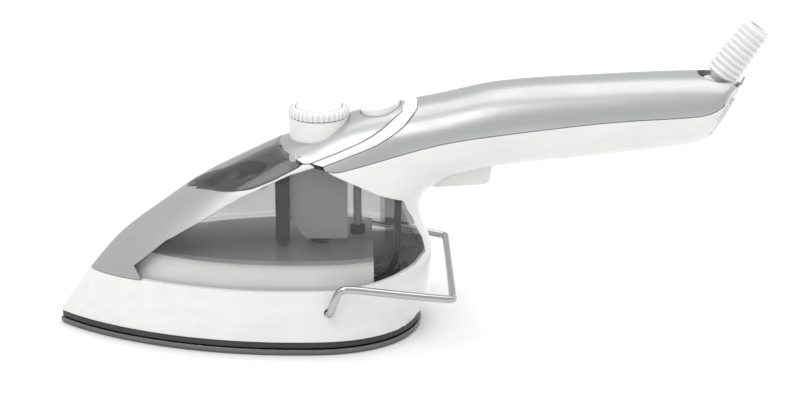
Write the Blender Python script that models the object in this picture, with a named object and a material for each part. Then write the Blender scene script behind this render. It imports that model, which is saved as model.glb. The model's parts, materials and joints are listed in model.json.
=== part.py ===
"""Handheld steamer iron: soleplate, water tank, long handle, pump trigger and steam knob."""

import math

import bmesh
import bpy
from mathutils import Matrix, Vector

MM = 0.001

# Overall sizes in millimetres.
OVERALL_LENGTH = 275.0
SOLE_WIDTH = 77.0
BODY_HEIGHT = 103.0

# Fits and walls.
GAP = 0.3
WALL = 2.0
TANK_WALL = 1.8

# Base.
SOLE_THICK = 2.5
SHIELD_THICK = 2.5
STEAM_HOLE_RADIUS = 1.6
STEAM_HOLE_COUNT = 14

# Knob and valve.
KNOB_RADIUS = 12.3
KNOB_RIM = 3.6
KNOB_RIBS = 34
SHAFT_RADIUS = 2.2
NEEDLE_RADIUS = 1.0

# Pump and trigger.
PUMP_RADIUS = 5.5
PISTON_RADIUS = 3.4
STEM_RADIUS = 1.5
TRIGGER_HALF_WIDTH = 6.0
PIN_RADIUS = 1.0
KNUCKLE_RADIUS = 2.1

# Wire stand, tubes, leads and cord sleeve.
WIRE_RADIUS = 1.5
TUBE_RADIUS = 1.7
LEAD_RADIUS = 1.0
SLEEVE_RADIUS = 7.0
SLEEVE_LENGTH = 25.0
SLEEVE_RIB_PITCH = 2.4
BALL_RADIUS = 5.8

# The layout below is written for these sizes and stretches with the overall sizes above.
LAYOUT_LENGTH = 275.0
LAYOUT_WIDTH = 77.0
LAYOUT_HEIGHT = 103.0
KX = OVERALL_LENGTH / LAYOUT_LENGTH
KY = SOLE_WIDTH / LAYOUT_WIDTH
KZ = BODY_HEIGHT / LAYOUT_HEIGHT

SKIRT_FOOT = SOLE_THICK + SHIELD_THICK + 2.0 * GAP
NOSE_X = -73.0
HEEL_X = 72.5
WIDEST_X = 28.0

# Body outline from the side, as (x, z).
RIDGE = [
    (NOSE_X, SKIRT_FOOT), (-61.0, 23.0), (-48.0, 38.2), (-32.0, 50.5), (-16.0, 61.4),
    (0.0, 69.5), (16.0, 76.5), (48.0, 88.0), (80.0, 94.6), (104.0, 99.5),
    (144.0, 102.0), (180.0, 103.2), (200.0, 102.6),
]
HEEL = [
    (HEEL_X, SKIRT_FOOT), (75.6, 20.0), (76.4, 33.0), (73.4, 41.6), (71.6, 50.0),
    (75.5, 57.5), (84.0, 62.4),
]
UNDERSIDE = [(84.0, 62.4), (104.0, 66.5), (144.0, 70.4), (180.0, 74.8), (187.0, 76.6)]
HALF_WIDTH = [
    (SKIRT_FOOT, 38.5), (15.0, 38.2), (26.0, 36.6), (36.0, 33.6), (46.0, 29.6),
    (56.0, 25.0), (66.0, 20.4), (74.0, 15.6), (80.0, 9.0), (86.0, 0.0),
]
HANDLE_HALF_WIDTH = [
    (-14.0, 5.0), (0.0, 11.0), (16.0, 15.0), (32.0, 17.0), (60.0, 17.8), (104.0, 17.5),
    (180.0, 16.0), (202.0, 15.5),
]
HANDLE_FLOOR = [(-14.0, 44.0), (30.0, 54.0), (60.0, 57.0), (84.0, 62.4)]

# Seams from the side, as (x, z).
SKIRT_SEAM = [(-90.0, 24.0), (-61.0, 24.0), (-50.0, 24.8), (-40.0, 25.4)]
TANK_OUTLINE = [
    (-39.0, 26.0), (38.0, 26.0), (50.0, 27.0), (60.0, 28.6), (68.6, 30.8), (73.2, 33.4),
    (71.8, 38.6), (68.6, 46.0), (65.8, 53.0),
    (64.6, 56.0), (56.0, 59.4), (44.0, 65.0), (31.0, 71.0), (21.0, 68.0), (13.0, 64.4),
    (0.0, 58.0), (-13.0, 50.2), (-28.8, 40.6), (-41.4, 30.0),
]
DOOR_LOW = [
    (-20.5, 58.0), (-14.0, 59.6), (-5.0, 60.6), (4.7, 62.4), (14.0, 66.3), (25.6, 72.2),
]
DOOR_REAR = (14.9, 76.7)
TRIM_INNER = [
    (28.6, 72.6), (39.2, 76.5), (48.0, 80.2), (55.6, 84.2), (61.6, 88.4), (65.8, 91.6),
    (67.6, 96.0),
]
TRIM_OUTER = [
    (33.4, 71.4), (43.0, 74.8), (53.7, 79.0), (61.0, 83.2), (66.6, 87.6), (70.4, 91.6),
    (72.0, 96.0),
]
SPLIT = [
    (34.4, 69.8), (40.0, 69.6), (55.6, 73.5), (78.4, 79.6), (100.8, 83.2), (144.0, 87.9),
    (176.0, 89.6), (186.0, 91.4), (193.0, 96.6), (196.5, 104.0),
]

# Places of the working parts.
KNOB_X = 32.0
KNOB_UNDER_Z = 87.2
FILLER_X = 5.0
FILLER_RIM_Z = 64.2
TANK_FLOOR_Z = 35.0
DOOR_HINGE = (24.8, 71.9)
TRIGGER_HINGE = (79.0, 64.4)
PUMP_X = 91.0
TRIGGER_TOP_Z = 69.0
STAND_PIVOT = (35.2, 17.6)
HANDLE_SCREWS = (118.0, 159.0)
SLEEVE_BASE = (190.4, 101.8)
SLEEVE_TILT = math.radians(55.0)


def at(x, y, z):
    """A layout point in millimetres as a place in metres."""
    return Vector((x * KX, y * KY, z * KZ)) * MM


def curve(table, value):
    """Smooth curve through a table of (position, height) pairs."""
    last = len(table) - 2
    i = 0
    while i < last and value > table[i + 1][0]:
        i += 1
    (x0, y0), (x1, y1) = table[i], table[i + 1]
    xa, ya = table[i - 1] if i > 0 else (x0, y0)
    xb, yb = table[i + 2] if i < last else (x1, y1)
    step = x1 - x0
    t = min(1.0, max(0.0, (value - x0) / step))
    m0 = (y1 - ya) / (x1 - xa) * step
    m1 = (yb - y0) / (xb - x0) * step
    t2, t3 = t * t, t * t * t
    return (
        (2 * t3 - 3 * t2 + 1) * y0 + (t3 - 2 * t2 + t) * m0
        + (3 * t2 - 2 * t3) * y1 + (t3 - t2) * m1
    )


def flowing(points, steps):
    """The same points with a smooth curve carried through them."""
    out = []
    for i in range(len(points) - 1):
        p1, p2 = Vector(points[i]), Vector(points[i + 1])
        p0 = Vector(points[i - 1]) if i > 0 else p1 - (p2 - p1)
        p3 = Vector(points[i + 2]) if i + 2 < len(points) else p2 + (p2 - p1)
        for k in range(steps):
            t = k / steps
            out.append(
                0.5 * (2 * p1 + (p2 - p0) * t + (2 * p0 - 5 * p1 + 4 * p2 - p3) * t * t
                       + (3 * p1 - p0 - 3 * p2 + p3) * t * t * t)
            )
    out.append(Vector(points[-1]))
    return [tuple(p) for p in out]


def swapped(table):
    """A table of (x, z) pairs turned into rising (z, x) pairs."""
    return sorted((z, x) for x, z in table)


HEEL_BY_HEIGHT = swapped(HEEL) + [(80.0, 86.0)]
OUTLINES = {}


def outlines(depth):
    """Top line and front line of the body moved inwards by depth, as smooth tables."""
    if depth not in OUTLINES:
        top = []
        for i in range(92):
            x = NOSE_X + 3.0 * i
            slope = (curve(RIDGE, x + 0.5) - curve(RIDGE, x - 0.5)) / 1.0
            top.append((x, curve(RIDGE, x) - depth * math.sqrt(1.0 + slope * slope)))
        front = [(z, x + 0.25 * depth) for x, z in top if x <= 80.0]
        OUTLINES[depth] = (top, front)
    return OUTLINES[depth]


def dome_half_width(x, z, depth):
    """Half-width of the body over the soleplate at a point of the side view."""
    front = curve(outlines(depth)[1], z)
    rear = curve(HEEL_BY_HEIGHT, z) - depth
    if not front < x < rear:
        return 0.0
    rise = min(1.0, max(0.0, (z - SKIRT_FOOT) / 70.0))
    widest = min(rear - 4.0, max(WIDEST_X, front + 14.0))
    width = max(0.0, curve(HALF_WIDTH, z) - 1.08 * depth)
    if x < widest:
        share = (widest - x) / (widest - front)
        return width * (1.0 - share**2.1) ** (0.86 - 0.36 * rise**0.6)
    share = (x - widest) / (rear - widest)
    return width * (1.0 - share**2.3) ** 0.5


def handle_floor(x):
    """Height of the handle's underside."""
    return curve(HANDLE_FLOOR, x) if x < 84.0 else curve(UNDERSIDE, x)


def rear_end(z):
    """Position of the sloping rear end at a height."""
    return 187.0 + 14.4 * (z - 76.6) / 26.0


def handle_half_width(x, z, depth):
    """Half-width of the handle at a point of the side view."""
    top = curve(outlines(depth)[0], x)
    floor = handle_floor(x) + depth
    if x < -14.0 or not floor < z < top:
        return 0.0
    high = (2.0 * z - top - floor) / (top - floor)
    width = curve(HANDLE_HALF_WIDTH, x) - depth
    width *= (1.0 - abs(high) ** 2.2) ** (1 / 2.2)
    back = rear_end(z) - 1.15 * depth - x
    if back < 10.0:
        width *= (1.0 - (1.0 - max(0.0, back) / 10.0) ** 2.6) ** 0.5
    return width


def half_width(x, z, depth=0.0):
    """Half-width of the body, moved inwards by depth, at a point of the side view."""
    dome = dome_half_width(x, z, depth)
    handle = handle_half_width(x, z, depth)
    return (dome**6 + handle**6) ** (1 / 6)


def along(points, share):
    """The point at a share of a polyline's length."""
    spans = [(Vector(b) - Vector(a)).length for a, b in zip(points, points[1:])]
    left = share * sum(spans)
    for a, b, span in zip(points, points[1:], spans):
        if left <= span:
            return Vector(a).lerp(Vector(b), left / span)
        left -= span
    return Vector(points[-1])


def stations(depth, sole_steps, heel_steps, handle_steps):
    """Curves (bottom, bend, top) that sweep the side view from nose to rear end."""
    top, front = outlines(depth)
    nose = curve(front, SKIRT_FOOT)
    last = (rear_end(101.0 - depth) - 1.15 * depth, 101.0 - depth)
    ridge = [(nose, SKIRT_FOOT)] + [(x, curve(top, x)) for x in range(-72, 199, 2)]
    ridge = [p for p in ridge if p[0] >= nose] + [last]
    low = [p for p in ridge if p[0] <= 50.0]
    mid = [p for p in ridge if 50.0 <= p[0] <= 90.0]
    high = [p for p in ridge if p[0] >= 90.0]
    heel = [(x - depth * (1.0 if z < 60.0 else 0.3), z) for x, z in HEEL[:-1]]
    heel = flowing(heel + [(84.0, 62.4 + depth)], 8)
    under = [(84.0 + 2.5 * i, handle_floor(84.0 + 2.5 * i) + depth) for i in range(41)]
    under.append((187.0 - 1.15 * depth, 76.6 + depth))
    sole = [(nose, SKIRT_FOOT), (HEEL_X - depth, SKIRT_FOOT)]
    out = []
    for i in range(sole_steps):
        t = i / sole_steps
        a, b = along(sole, t**1.25), along(low, t**1.1)
        bow = Vector((14.0 * t**5, 0.0))
        out.append((a, (a + b) / 2.0 - bow, b))
    for i in range(heel_steps):
        t = i / heel_steps
        a, b = along(heel, t), along(mid, t)
        bow = Vector((14.0 * math.cos(0.5 * math.pi * t) ** 0.7, 0.0))
        out.append((a, (a + b) / 2.0 - bow, b))
    for i in range(handle_steps + 1):
        t = math.sin(0.5 * math.pi * i / handle_steps) * 0.35 + 0.65 * i / handle_steps
        a, b = along(under, t), along(high, t)
        out.append((a, (a + b) / 2.0, b))
    return out


def bent(station, t):
    """A point on a station's curve."""
    low, bend, high = station
    return low * (1.0 - t) ** 2 + bend * (2.0 * t * (1.0 - t)) + high * t * t


def inside_span(station, depth):
    """The part of a station's curve that lies inside the body."""
    marks = [k / 80 for k in range(81)]
    full = [half_width(*bent(station, t), depth) > 0.05 for t in marks]
    if not any(full):
        return 0.0, 1.0
    first = full.index(True)
    last = first
    while last < 80 and full[last + 1]:
        last += 1
    ends = []
    for edge, outer in ((first, first - 1), (last, last + 1)):
        if not 0 <= outer <= 80:
            ends.append(marks[edge])
            continue
        good, bad = marks[edge], marks[outer]
        for _ in range(14):
            half = (good + bad) / 2.0
            if half_width(*bent(station, half), depth) > 0.0:
                good = half
            else:
                bad = half
        ends.append(good)
    return tuple(ends)


def body_mesh(depth, sole_steps=17, heel_steps=9, handle_steps=11, rows=10):
    """The outside of the body moved inwards by depth; negative depth moves it outwards."""
    bm = bmesh.new()
    lines = []
    for k, station in enumerate(stations(depth, sole_steps, heel_steps, handle_steps)):
        start, stop = inside_span(station, depth)
        line = []
        for j in range(rows + 1):
            t = start + (stop - start) * (0.5 - 0.5 * math.cos(math.pi * j / rows))
            p = bent(station, t)
            open_foot = j == 0 and 0 < k < sole_steps
            wide = half_width(p.x, p.y, depth) if 0 < j < rows or open_foot else 0.0
            if k in (0, sole_steps + heel_steps + handle_steps):
                wide = 0.0
            line.append((p.x, wide, p.y))
        lines.append(line)
    for side in (1.0, -1.0):
        grid = [[bm.verts.new((x, side * y, z)) for x, y, z in line] for line in lines]
        for a, b in zip(grid, grid[1:]):
            for j in range(rows):
                quad = [a[j], b[j], b[j + 1], a[j + 1]]
                if b is not grid[-1]:
                    bm.faces.new(quad)
                    continue
                split = 3 if j < rows / 2 else 0
                turned = quad[split:] + quad[:split]
                bm.faces.new([turned[0], turned[1], turned[2]])
                bm.faces.new([turned[0], turned[2], turned[3]])
    bmesh.ops.remove_doubles(bm, verts=bm.verts, dist=1e-4)
    bmesh.ops.dissolve_degenerate(bm, dist=1e-4, edges=bm.edges)
    rim = [e for e in bm.edges if e.is_boundary]
    foot = bmesh.ops.holes_fill(bm, edges=rim, sides=0)["faces"]
    if depth > 0.0:
        grown_foot = bmesh.ops.extrude_face_region(bm, geom=foot)["geom"]
        moved = [v for v in grown_foot if isinstance(v, bmesh.types.BMVert)]
        bmesh.ops.translate(bm, verts=moved, vec=(0.0, 0.0, -4.0))
        bmesh.ops.delete(bm, geom=foot, context="FACES_ONLY")
    bmesh.ops.triangulate(bm, faces=[f for f in bm.faces if len(f.verts) > 4])
    bmesh.ops.recalc_face_normals(bm, faces=bm.faces)
    if bm.calc_volume(signed=True) < 0.0:
        bmesh.ops.reverse_faces(bm, faces=bm.faces)
    for v in bm.verts:
        v.co = at(*v.co)
    return bm


def keep(name, bm, smooth=True):
    """Put a working mesh into the scene as an object."""
    mesh = bpy.data.meshes.new(name)
    bmesh.ops.triangulate(bm, faces=bm.faces)
    bm.to_mesh(mesh)
    bm.free()
    mesh.polygons.foreach_set("use_smooth", [smooth] * len(mesh.polygons))
    obj = bpy.data.objects.new(name, mesh)
    bpy.context.scene.collection.objects.link(obj)
    return obj


def body(name, depth):
    """A solid of the body's outside moved inwards by depth."""
    return keep(name, body_mesh(depth))


def combine(obj, tool, operation):
    """Cut, join or intersect obj with a tool, which is used up."""
    mod = obj.modifiers.new("shape", "BOOLEAN")
    mod.operation = operation
    mod.solver = "EXACT"
    mod.object = tool
    bpy.context.view_layer.update()
    shaped = obj.evaluated_get(bpy.context.evaluated_depsgraph_get())
    mesh = bpy.data.meshes.new_from_object(shaped)
    obj.modifiers.remove(mod)
    old = obj.data
    obj.data = mesh
    bpy.data.meshes.remove(old)
    bpy.data.objects.remove(tool)
    return obj


def cut(obj, *tools):
    """Take each tool away from obj."""
    for tool in tools:
        combine(obj, tool, "DIFFERENCE")
    return obj


def join(obj, *tools):
    """Join each tool to obj."""
    for tool in tools:
        combine(obj, tool, "UNION")
    return obj


def within(obj, tool):
    """What obj and the tool share."""
    return combine(obj, tool, "INTERSECT")


def prism(outline, low=-70.0, high=70.0, name="prism"):
    """A side-view outline carried across the width from low to high."""
    bm = bmesh.new()
    near = [bm.verts.new(at(x, low, z)) for x, z in outline]
    far = [bm.verts.new(at(x, high, z)) for x, z in outline]
    bm.faces.new(near)
    bm.faces.new(far[::-1])
    n = len(outline)
    for i in range(n):
        bm.faces.new([near[i], far[i], far[(i + 1) % n], near[(i + 1) % n]])
    bmesh.ops.recalc_face_normals(bm, faces=bm.faces)
    return keep(name, bm, smooth=False)


def slab(outline, low, high, name="slab"):
    """A plan outline of (x, y) carried up from low to high."""
    bm = bmesh.new()
    under = [bm.verts.new(at(x, y, low)) for x, y in outline]
    over = [bm.verts.new(at(x, y, high)) for x, y in outline]
    bm.faces.new(under)
    bm.faces.new(over[::-1])
    n = len(outline)
    for i in range(n):
        bm.faces.new([under[i], over[i], over[(i + 1) % n], under[(i + 1) % n]])
    bmesh.ops.recalc_face_normals(bm, faces=bm.faces)
    return keep(name, bm, smooth=False)


def box(x0, x1, y0, y1, z0, z1, name="box"):
    """A block between two layout corners."""
    return slab([(x0, y0), (x1, y0), (x1, y1), (x0, y1)], z0, z1, name)


def spun(profile, base, direction, sides=32, name="spun", ribs=0, rib_depth=0.0):
    """A profile of (radius, height) turned round an axis; ribs deepen alternate columns."""
    bm = bmesh.new()
    frame = Vector(direction).normalized().to_track_quat("Z", "Y").to_matrix()
    base = Vector(base)
    rings = []
    for radius, height in profile:
        ring = []
        for i in range(sides):
            angle = 2.0 * math.pi * i / sides
            reach = radius
            if ribs and radius > KNOB_RADIUS - 0.6 and i % 2:
                reach = radius - rib_depth
            spot = Vector((reach * math.cos(angle), reach * math.sin(angle), height)) * MM
            ring.append(bm.verts.new(base + frame @ spot))
        rings.append(ring)
    hollow = profile[0] == profile[-1]
    if hollow:
        for v in rings[-1]:
            bm.verts.remove(v)
        rings[-1] = rings[0]
    for a, b in zip(rings, rings[1:]):
        for i in range(sides):
            k = (i + 1) % sides
            bm.faces.new([a[i], a[k], b[k], b[i]])
    if not hollow:
        bm.faces.new(rings[0][::-1])
        bm.faces.new(rings[-1])
    bmesh.ops.remove_doubles(bm, verts=bm.verts, dist=1e-7)
    bmesh.ops.recalc_face_normals(bm, faces=bm.faces)
    return keep(name, bm)


def rod(base, tip, radius, sides=16, name="rod"):
    """A round bar between two places in metres."""
    span = (Vector(tip) - Vector(base)).length / MM
    return spun([(radius, 0.0), (radius, span)], base, Vector(tip) - Vector(base), sides, name)


def upright(x, y, z0, z1, radius, sides=16, name="rod"):
    """A round upright bar between two layout heights."""
    return rod(at(x, y, z0), at(x, y, z1), radius, sides, name)


def across(x, z, y0, y1, radius, sides=16, name="rod"):
    """A round bar across the width."""
    return rod(at(x, y0, z), at(x, y1, z), radius, sides, name)


def pipe(points, radius, sides=8, steps=3, bore=0.0, name="pipe"):
    """A bar or hose of round section that follows layout points."""
    path = [at(*p) for p in flowing(points, steps)]
    bm = bmesh.new()
    side = None
    shells = [[], []]
    for i, p in enumerate(path):
        ahead = path[min(i + 1, len(path) - 1)] - path[max(i - 1, 0)]
        ahead.normalize()
        if side is None:
            side = ahead.orthogonal().normalized()
        side = (side - ahead * side.dot(ahead)).normalized()
        other = ahead.cross(side)
        for shell, reach in zip(shells, (radius, bore)):
            ring = []
            for k in range(sides):
                angle = 2.0 * math.pi * k / sides
                spot = side * math.cos(angle) + other * math.sin(angle)
                ring.append(bm.verts.new(p + spot * reach * MM) if reach else None)
            shell.append(ring)
    for rings in shells if bore else shells[:1]:
        for a, b in zip(rings, rings[1:]):
            for k in range(sides):
                n = (k + 1) % sides
                bm.faces.new([a[k], a[n], b[n], b[k]])
    outer, inner = shells
    for end in (0, -1):
        if bore:
            for k in range(sides):
                n = (k + 1) % sides
                bm.faces.new([outer[end][k], outer[end][n], inner[end][n], inner[end][k]])
        else:
            bm.faces.new(outer[end])
    bmesh.ops.recalc_face_normals(bm, faces=bm.faces)
    return keep(name, bm)


def grown(outline, distance):
    """An outline moved outwards by a distance."""
    area = sum(
        a[0] * b[1] - b[0] * a[1] for a, b in zip(outline, outline[1:] + outline[:1])
    )
    sign = 1.0 if area > 0.0 else -1.0
    out = []
    n = len(outline)
    for i in range(n):
        a, b, c = (Vector(outline[(i + k) % n]) for k in (-1, 0, 1))
        d0 = (b - a).normalized()
        d1 = (c - b).normalized()
        n0 = Vector((d0.y, -d0.x)) * sign
        n1 = Vector((d1.y, -d1.x)) * sign
        mid = n0 + n1
        mid = mid / max(0.5, mid.dot(n0))
        out.append(tuple(b + mid * distance))
    return out


def sole_outline(depth, steps=26):
    """Plan outline of the soleplate moved inwards by depth."""
    z = SKIRT_FOOT + 1e-4
    front = curve(outlines(depth)[1], z)
    rear = curve(HEEL_BY_HEIGHT, z) - depth
    half = [(front, 0.0)]
    for i in range(1, steps):
        x = front + (rear - front) * (0.5 - 0.5 * math.cos(math.pi * i / steps))
        half.append((x, dome_half_width(x, z, depth)))
    half.append((rear, 0.0))
    return half + [(x, -y) for x, y in half[-2:0:-1]]


def finish(name, colour, roughness, metallic=0.0, alpha=1.0, transmission=0.0):
    """A plain material."""
    found = bpy.data.materials.get(name)
    if found:
        return found
    mat = bpy.data.materials.new(name)
    mat.use_nodes = True
    shader = mat.node_tree.nodes["Principled BSDF"]
    shader.inputs["Base Color"].default_value = (*colour, 1.0)
    shader.inputs["Roughness"].default_value = roughness
    shader.inputs["Metallic"].default_value = metallic
    shader.inputs["Alpha"].default_value = alpha
    shader.inputs["Transmission Weight"].default_value = transmission
    mat.diffuse_color = (*colour, alpha)
    return mat


def white():
    return finish("white_gloss_plastic", (0.86, 0.86, 0.85), 0.25)


def silver():
    return finish("silver_satin_plastic", (0.56, 0.57, 0.58), 0.35, 0.2)


def smoke():
    return finish("smoky_clear_plastic", (0.3, 0.3, 0.31), 0.08, 0.0, 0.45, 0.6)


def charcoal():
    return finish("charcoal_resin", (0.08, 0.08, 0.085), 0.5)


def grey():
    return finish("grey_plastic", (0.5, 0.5, 0.5), 0.4)


def steel():
    return finish("bright_steel", (0.62, 0.62, 0.63), 0.25, 1.0)


def dark_polish():
    return finish("dark_polished_metal", (0.34, 0.34, 0.35), 0.2, 1.0)


def aluminium():
    return finish("cast_aluminium", (0.6, 0.61, 0.62), 0.4, 1.0)


def rubber():
    return finish("grey_rubber", (0.18, 0.18, 0.18), 0.8)


def clear():
    return finish("clear_hose", (0.75, 0.76, 0.76), 0.2, 0.0, 0.6, 0.4)


def done(obj, name, material, origin=None, smooth_below=40.0):
    """Name a finished piece, give it its material and set its origin and shading."""
    obj.name = name
    obj.data.name = name
    obj.data.materials.clear()
    obj.data.materials.append(material)
    bm = bmesh.new()
    bm.from_mesh(obj.data)
    bm = flattened(welded(bm))
    limit = math.radians(smooth_below)
    for face in bm.faces:
        face.smooth = True
        face.material_index = 0
    for edge in bm.edges:
        if len(edge.link_faces) == 2:
            edge.smooth = edge.calc_face_angle(0.0) < limit
    if origin is not None:
        bmesh.ops.translate(bm, verts=bm.verts, vec=-Vector(origin))
        obj.location = origin
    bm.to_mesh(obj.data)
    bm.free()
    return obj


def is_closed(bm):
    """Whether every edge joins two faces."""
    return all(len(e.link_faces) == 2 for e in bm.edges)


def welded(bm):
    """The same mesh with its nearly touching points made one, where that keeps it closed."""
    plain = bm.copy()
    bmesh.ops.remove_doubles(plain, verts=plain.verts, dist=2e-6)
    if is_closed(plain):
        bm.free()
        return plain
    plain.free()
    return bm


def flattened(bm):
    """The same mesh with its flat areas made of fewer faces, where that keeps it closed."""
    spared = []
    for _ in range(4):
        plain = bm.copy()
        free = [v for v in plain.verts if all((v.co - s).length > 4.0 * MM for s in spared)]
        loose = set(free)
        bmesh.ops.dissolve_limit(
            plain, angle_limit=math.radians(0.3), verts=free,
            edges=[e for e in plain.edges if e.verts[0] in loose and e.verts[1] in loose],
        )
        bmesh.ops.triangulate(plain, faces=plain.faces)
        if is_closed(plain):
            bm.free()
            return plain
        spared += [e.verts[0].co.copy() for e in plain.edges if len(e.link_faces) != 2]
        plain.free()
    bmesh.ops.triangulate(bm, faces=bm.faces)
    return bm


def shell(depth=0.0, wall=WALL):
    """The whole outer wall of the body."""
    return cut(body("shell", depth), body("core", depth + wall))


def front_outline():
    """Side-view outline that holds the silver nose and the strip under the door."""
    return SKIRT_SEAM + [
        (-20.0, 30.0), (31.0, 66.0), (31.0, 70.6), (28.4, 72.2), (26.0, 72.4), (14.0, 73.5),
        (4.0, 95.0), (-90.0, 95.0),
    ]


def door_outline():
    """Side-view outline of the filler door."""
    return flowing(DOOR_LOW, 3) + [DOOR_REAR, (DOOR_REAR[0] - 2.0, 95.0), (-35.0, 95.0)]


def console_outline():
    """Side-view outline of the console panel."""
    return [(DOOR_REAR[0] - 2.0, 110.0), DOOR_REAR, (26.0, 72.4)] + flowing(TRIM_INNER, 3) + [
        (68.0, 110.0)
    ]


def trim_outline():
    """Side-view outline of the white band round the console."""
    return flowing(TRIM_INNER, 3) + [(68.0, 110.0), (72.4, 110.0)] + flowing(TRIM_OUTER, 3)[::-1]


def top_outline():
    """Side-view outline of the handle's top shell."""
    return flowing(TRIM_OUTER, 3)[::-1] + flowing(SPLIT, 3) + [(197.0, 120.0), (72.4, 120.0)]


def upper_outline():
    """Everything above the white housing, behind the front shell."""
    return (
        [(0.0, 120.0), (10.0, 74.0), (28.6, 72.2), (31.0, 70.4)]
        + flowing(SPLIT, 3) + [(197.0, 120.0)]
    )


def tank_outline():
    """Side-view outline of the tank."""
    return TANK_OUTLINE


def sleeve_point(distance):
    """A place on the cord sleeve's axis."""
    return at(SLEEVE_BASE[0], 0.0, SLEEVE_BASE[1]) + sleeve_way() * distance * MM


def sleeve_way():
    """Direction of the cord sleeve."""
    return Vector((math.cos(SLEEVE_TILT), 0.0, math.sin(SLEEVE_TILT)))


def build_soleplate():
    """Metal plate with a softened edge and steam holes."""
    bm = bmesh.new()
    layers = [(0.9, 0.0), (0.25, 0.35), (0.0, 1.0), (0.0, SOLE_THICK)]
    rings = []
    for depth, height in layers:
        rings.append([bm.verts.new(at(x, y, height)) for x, y in sole_outline(depth)])
    n = len(rings[0])
    for a, b in zip(rings, rings[1:]):
        for i in range(n):
            bm.faces.new([a[i], a[(i + 1) % n], b[(i + 1) % n], b[i]])
    bm.faces.new(rings[0])
    bm.faces.new(rings[-1])
    bmesh.ops.recalc_face_normals(bm, faces=bm.faces)
    plate = keep("soleplate", bm)
    half = STEAM_HOLE_COUNT // 2
    ring = sole_outline(11.0, 40)
    front = ring[: len(ring) // 2]
    for i in range(half):
        p = along(front, 0.07 + 0.72 * i / (half - 1))
        for side in (1.0, -1.0):
            cut(plate, upright(p.x, side * p.y, -1.0, 4.0, STEAM_HOLE_RADIUS, 10))
    return done(plate, "soleplate", dark_polish())


def build_shield():
    """Dark heat-resistant ring between the soleplate and the housing."""
    low = SOLE_THICK + GAP
    ring = slab(sole_outline(0.6), low, low + SHIELD_THICK)
    cut(ring, slab(sole_outline(7.0), low - 1.0, low + SHIELD_THICK + 1.0))
    for x, y in shield_screw_places():
        cut(ring, upright(x, y, low - 1.0, low + 1.5, 2.1 + GAP, 16))
        cut(ring, upright(x, y, low - 0.5, low + 4.0, 1.3 + GAP, 12))
    return done(ring, "heat_shield", charcoal())


def build_heater():
    """Cast block with the steam chamber, its tubular element, seal and cover."""
    low = SOLE_THICK + GAP
    block = slab(sole_outline(7.5), low, 7.4)
    join(block, slab(sole_outline(17.0), 7.0, 11.6))
    cut(block, slab(sole_outline(20.0), 5.4, 12.0))
    done(block, "heater_casting", aluminium())
    z = 7.4 + GAP + 2.8
    half = [(x, y) for x, y in sole_outline(12.8, 16)[:17] if y > 4.0 and x < 66.0]
    loop = [(66.0, 12.0, z + 8.0), (62.0, 20.0, z)]
    loop += [(x, y, z) for x, y in reversed(half) if x < 54.0]
    loop += [(-54.0, 0.0, z)]
    loop += [(x, -y, z) for x, y in half if x < 54.0]
    loop += [(62.0, -20.0, z), (66.0, -12.0, z + 8.0)]
    done(pipe(loop, 2.0, 7, 2), "heating_element", steel())
    seal = slab(sole_outline(17.2), 11.6 + GAP, 12.4 + GAP)
    cut(seal, slab(sole_outline(19.8), 11.0, 14.0))
    done(seal, "chamber_seal", rubber())
    lid = slab(sole_outline(17.0), 13.0, 14.4)
    cut(lid, upright(KNOB_X, 0.0, 12.0, 16.0, 2.4), upright(46.0, 4.5, 12.0, 16.0, 2.2))
    return done(lid, "chamber_cover", aluminium())


def build_thermostat():
    """Disc thermostat and thermal fuse on the chamber cover."""
    disc = upright(8.0, 0.0, 14.4 + GAP, 18.4, 7.5, 24)
    join(disc, upright(8.0, 0.0, 18.0, 20.4, 4.0, 16))
    join(disc, box(-3.0, 2.0, -2.0, 2.0, 15.5, 17.0), box(14.0, 19.0, -2.0, 2.0, 15.5, 17.0))
    done(disc, "thermostat", charcoal())
    low = at(-16.0, -7.0, 17.2)
    done(rod(low, at(-16.0, 7.0, 17.2), 2.0, 12), "thermal_fuse", steel())


def pocket(x, y):
    """Tapered screw pocket through the handle's underside."""
    z = handle_floor(x)
    return upright(x, y, z - 3.0, z + 4.4, 3.3, 20)


def build_housing():
    """White housing: skirt, rear column, handle underside and rear end."""
    part = shell()
    front = front_outline()
    cut(part, prism(grown(front, GAP)))
    cut(part, prism(grown(tank_outline(), GAP)))
    cut(part, prism(grown(upper_outline(), GAP)))
    for x in HANDLE_SCREWS:
        z = handle_floor(x)
        join(part, upright(x, 0.0, z + 1.0, z + 13.0, 4.6, 16))
        cut(part, pocket(x, 0.0), upright(x, 0.0, z, z + 11.0, 1.9, 12))
    for x, y in shield_screw_places():
        join(part, upright(x, y, SKIRT_FOOT + 0.2, 15.0, 2.7, 16))
        cut(part, upright(x, y, 4.0, 13.0, 1.3 + GAP, 12))
    for side in (1.0, -1.0):
        lug = sorted((side * (TRIGGER_HALF_WIDTH + 1.0), side * (TRIGGER_HALF_WIDTH + 3.4)))
        join(part, prism([(76.5, 60.6), (83.5, 63.2), (82.5, 67.4), (76.5, 67.4)], *lug))
    cut(part, box(75.2, 101.0, -TRIGGER_HALF_WIDTH - 0.6, TRIGGER_HALF_WIDTH + 0.6, 55.0, 72.0))
    cut(part, across(*TRIGGER_HINGE, -10.5, 10.5, PIN_RADIUS + 0.2))
    cut(part, across(*STAND_PIVOT, -60.0, 60.0, WIRE_RADIUS + GAP))
    cut(part, rod(sleeve_point(-9.0), sleeve_point(12.0), SLEEVE_RADIUS + 1.2, 28))
    return done(part, "main_housing", white())


def shield_screw_places():
    """Where the screws stand, close inside the skirt."""
    places = []
    for x in (-26.0, 50.0):
        y = half_width(x, SKIRT_FOOT + 1e-4) - 3.9
        places += [(x, y), (x, -y)]
    return places


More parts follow.
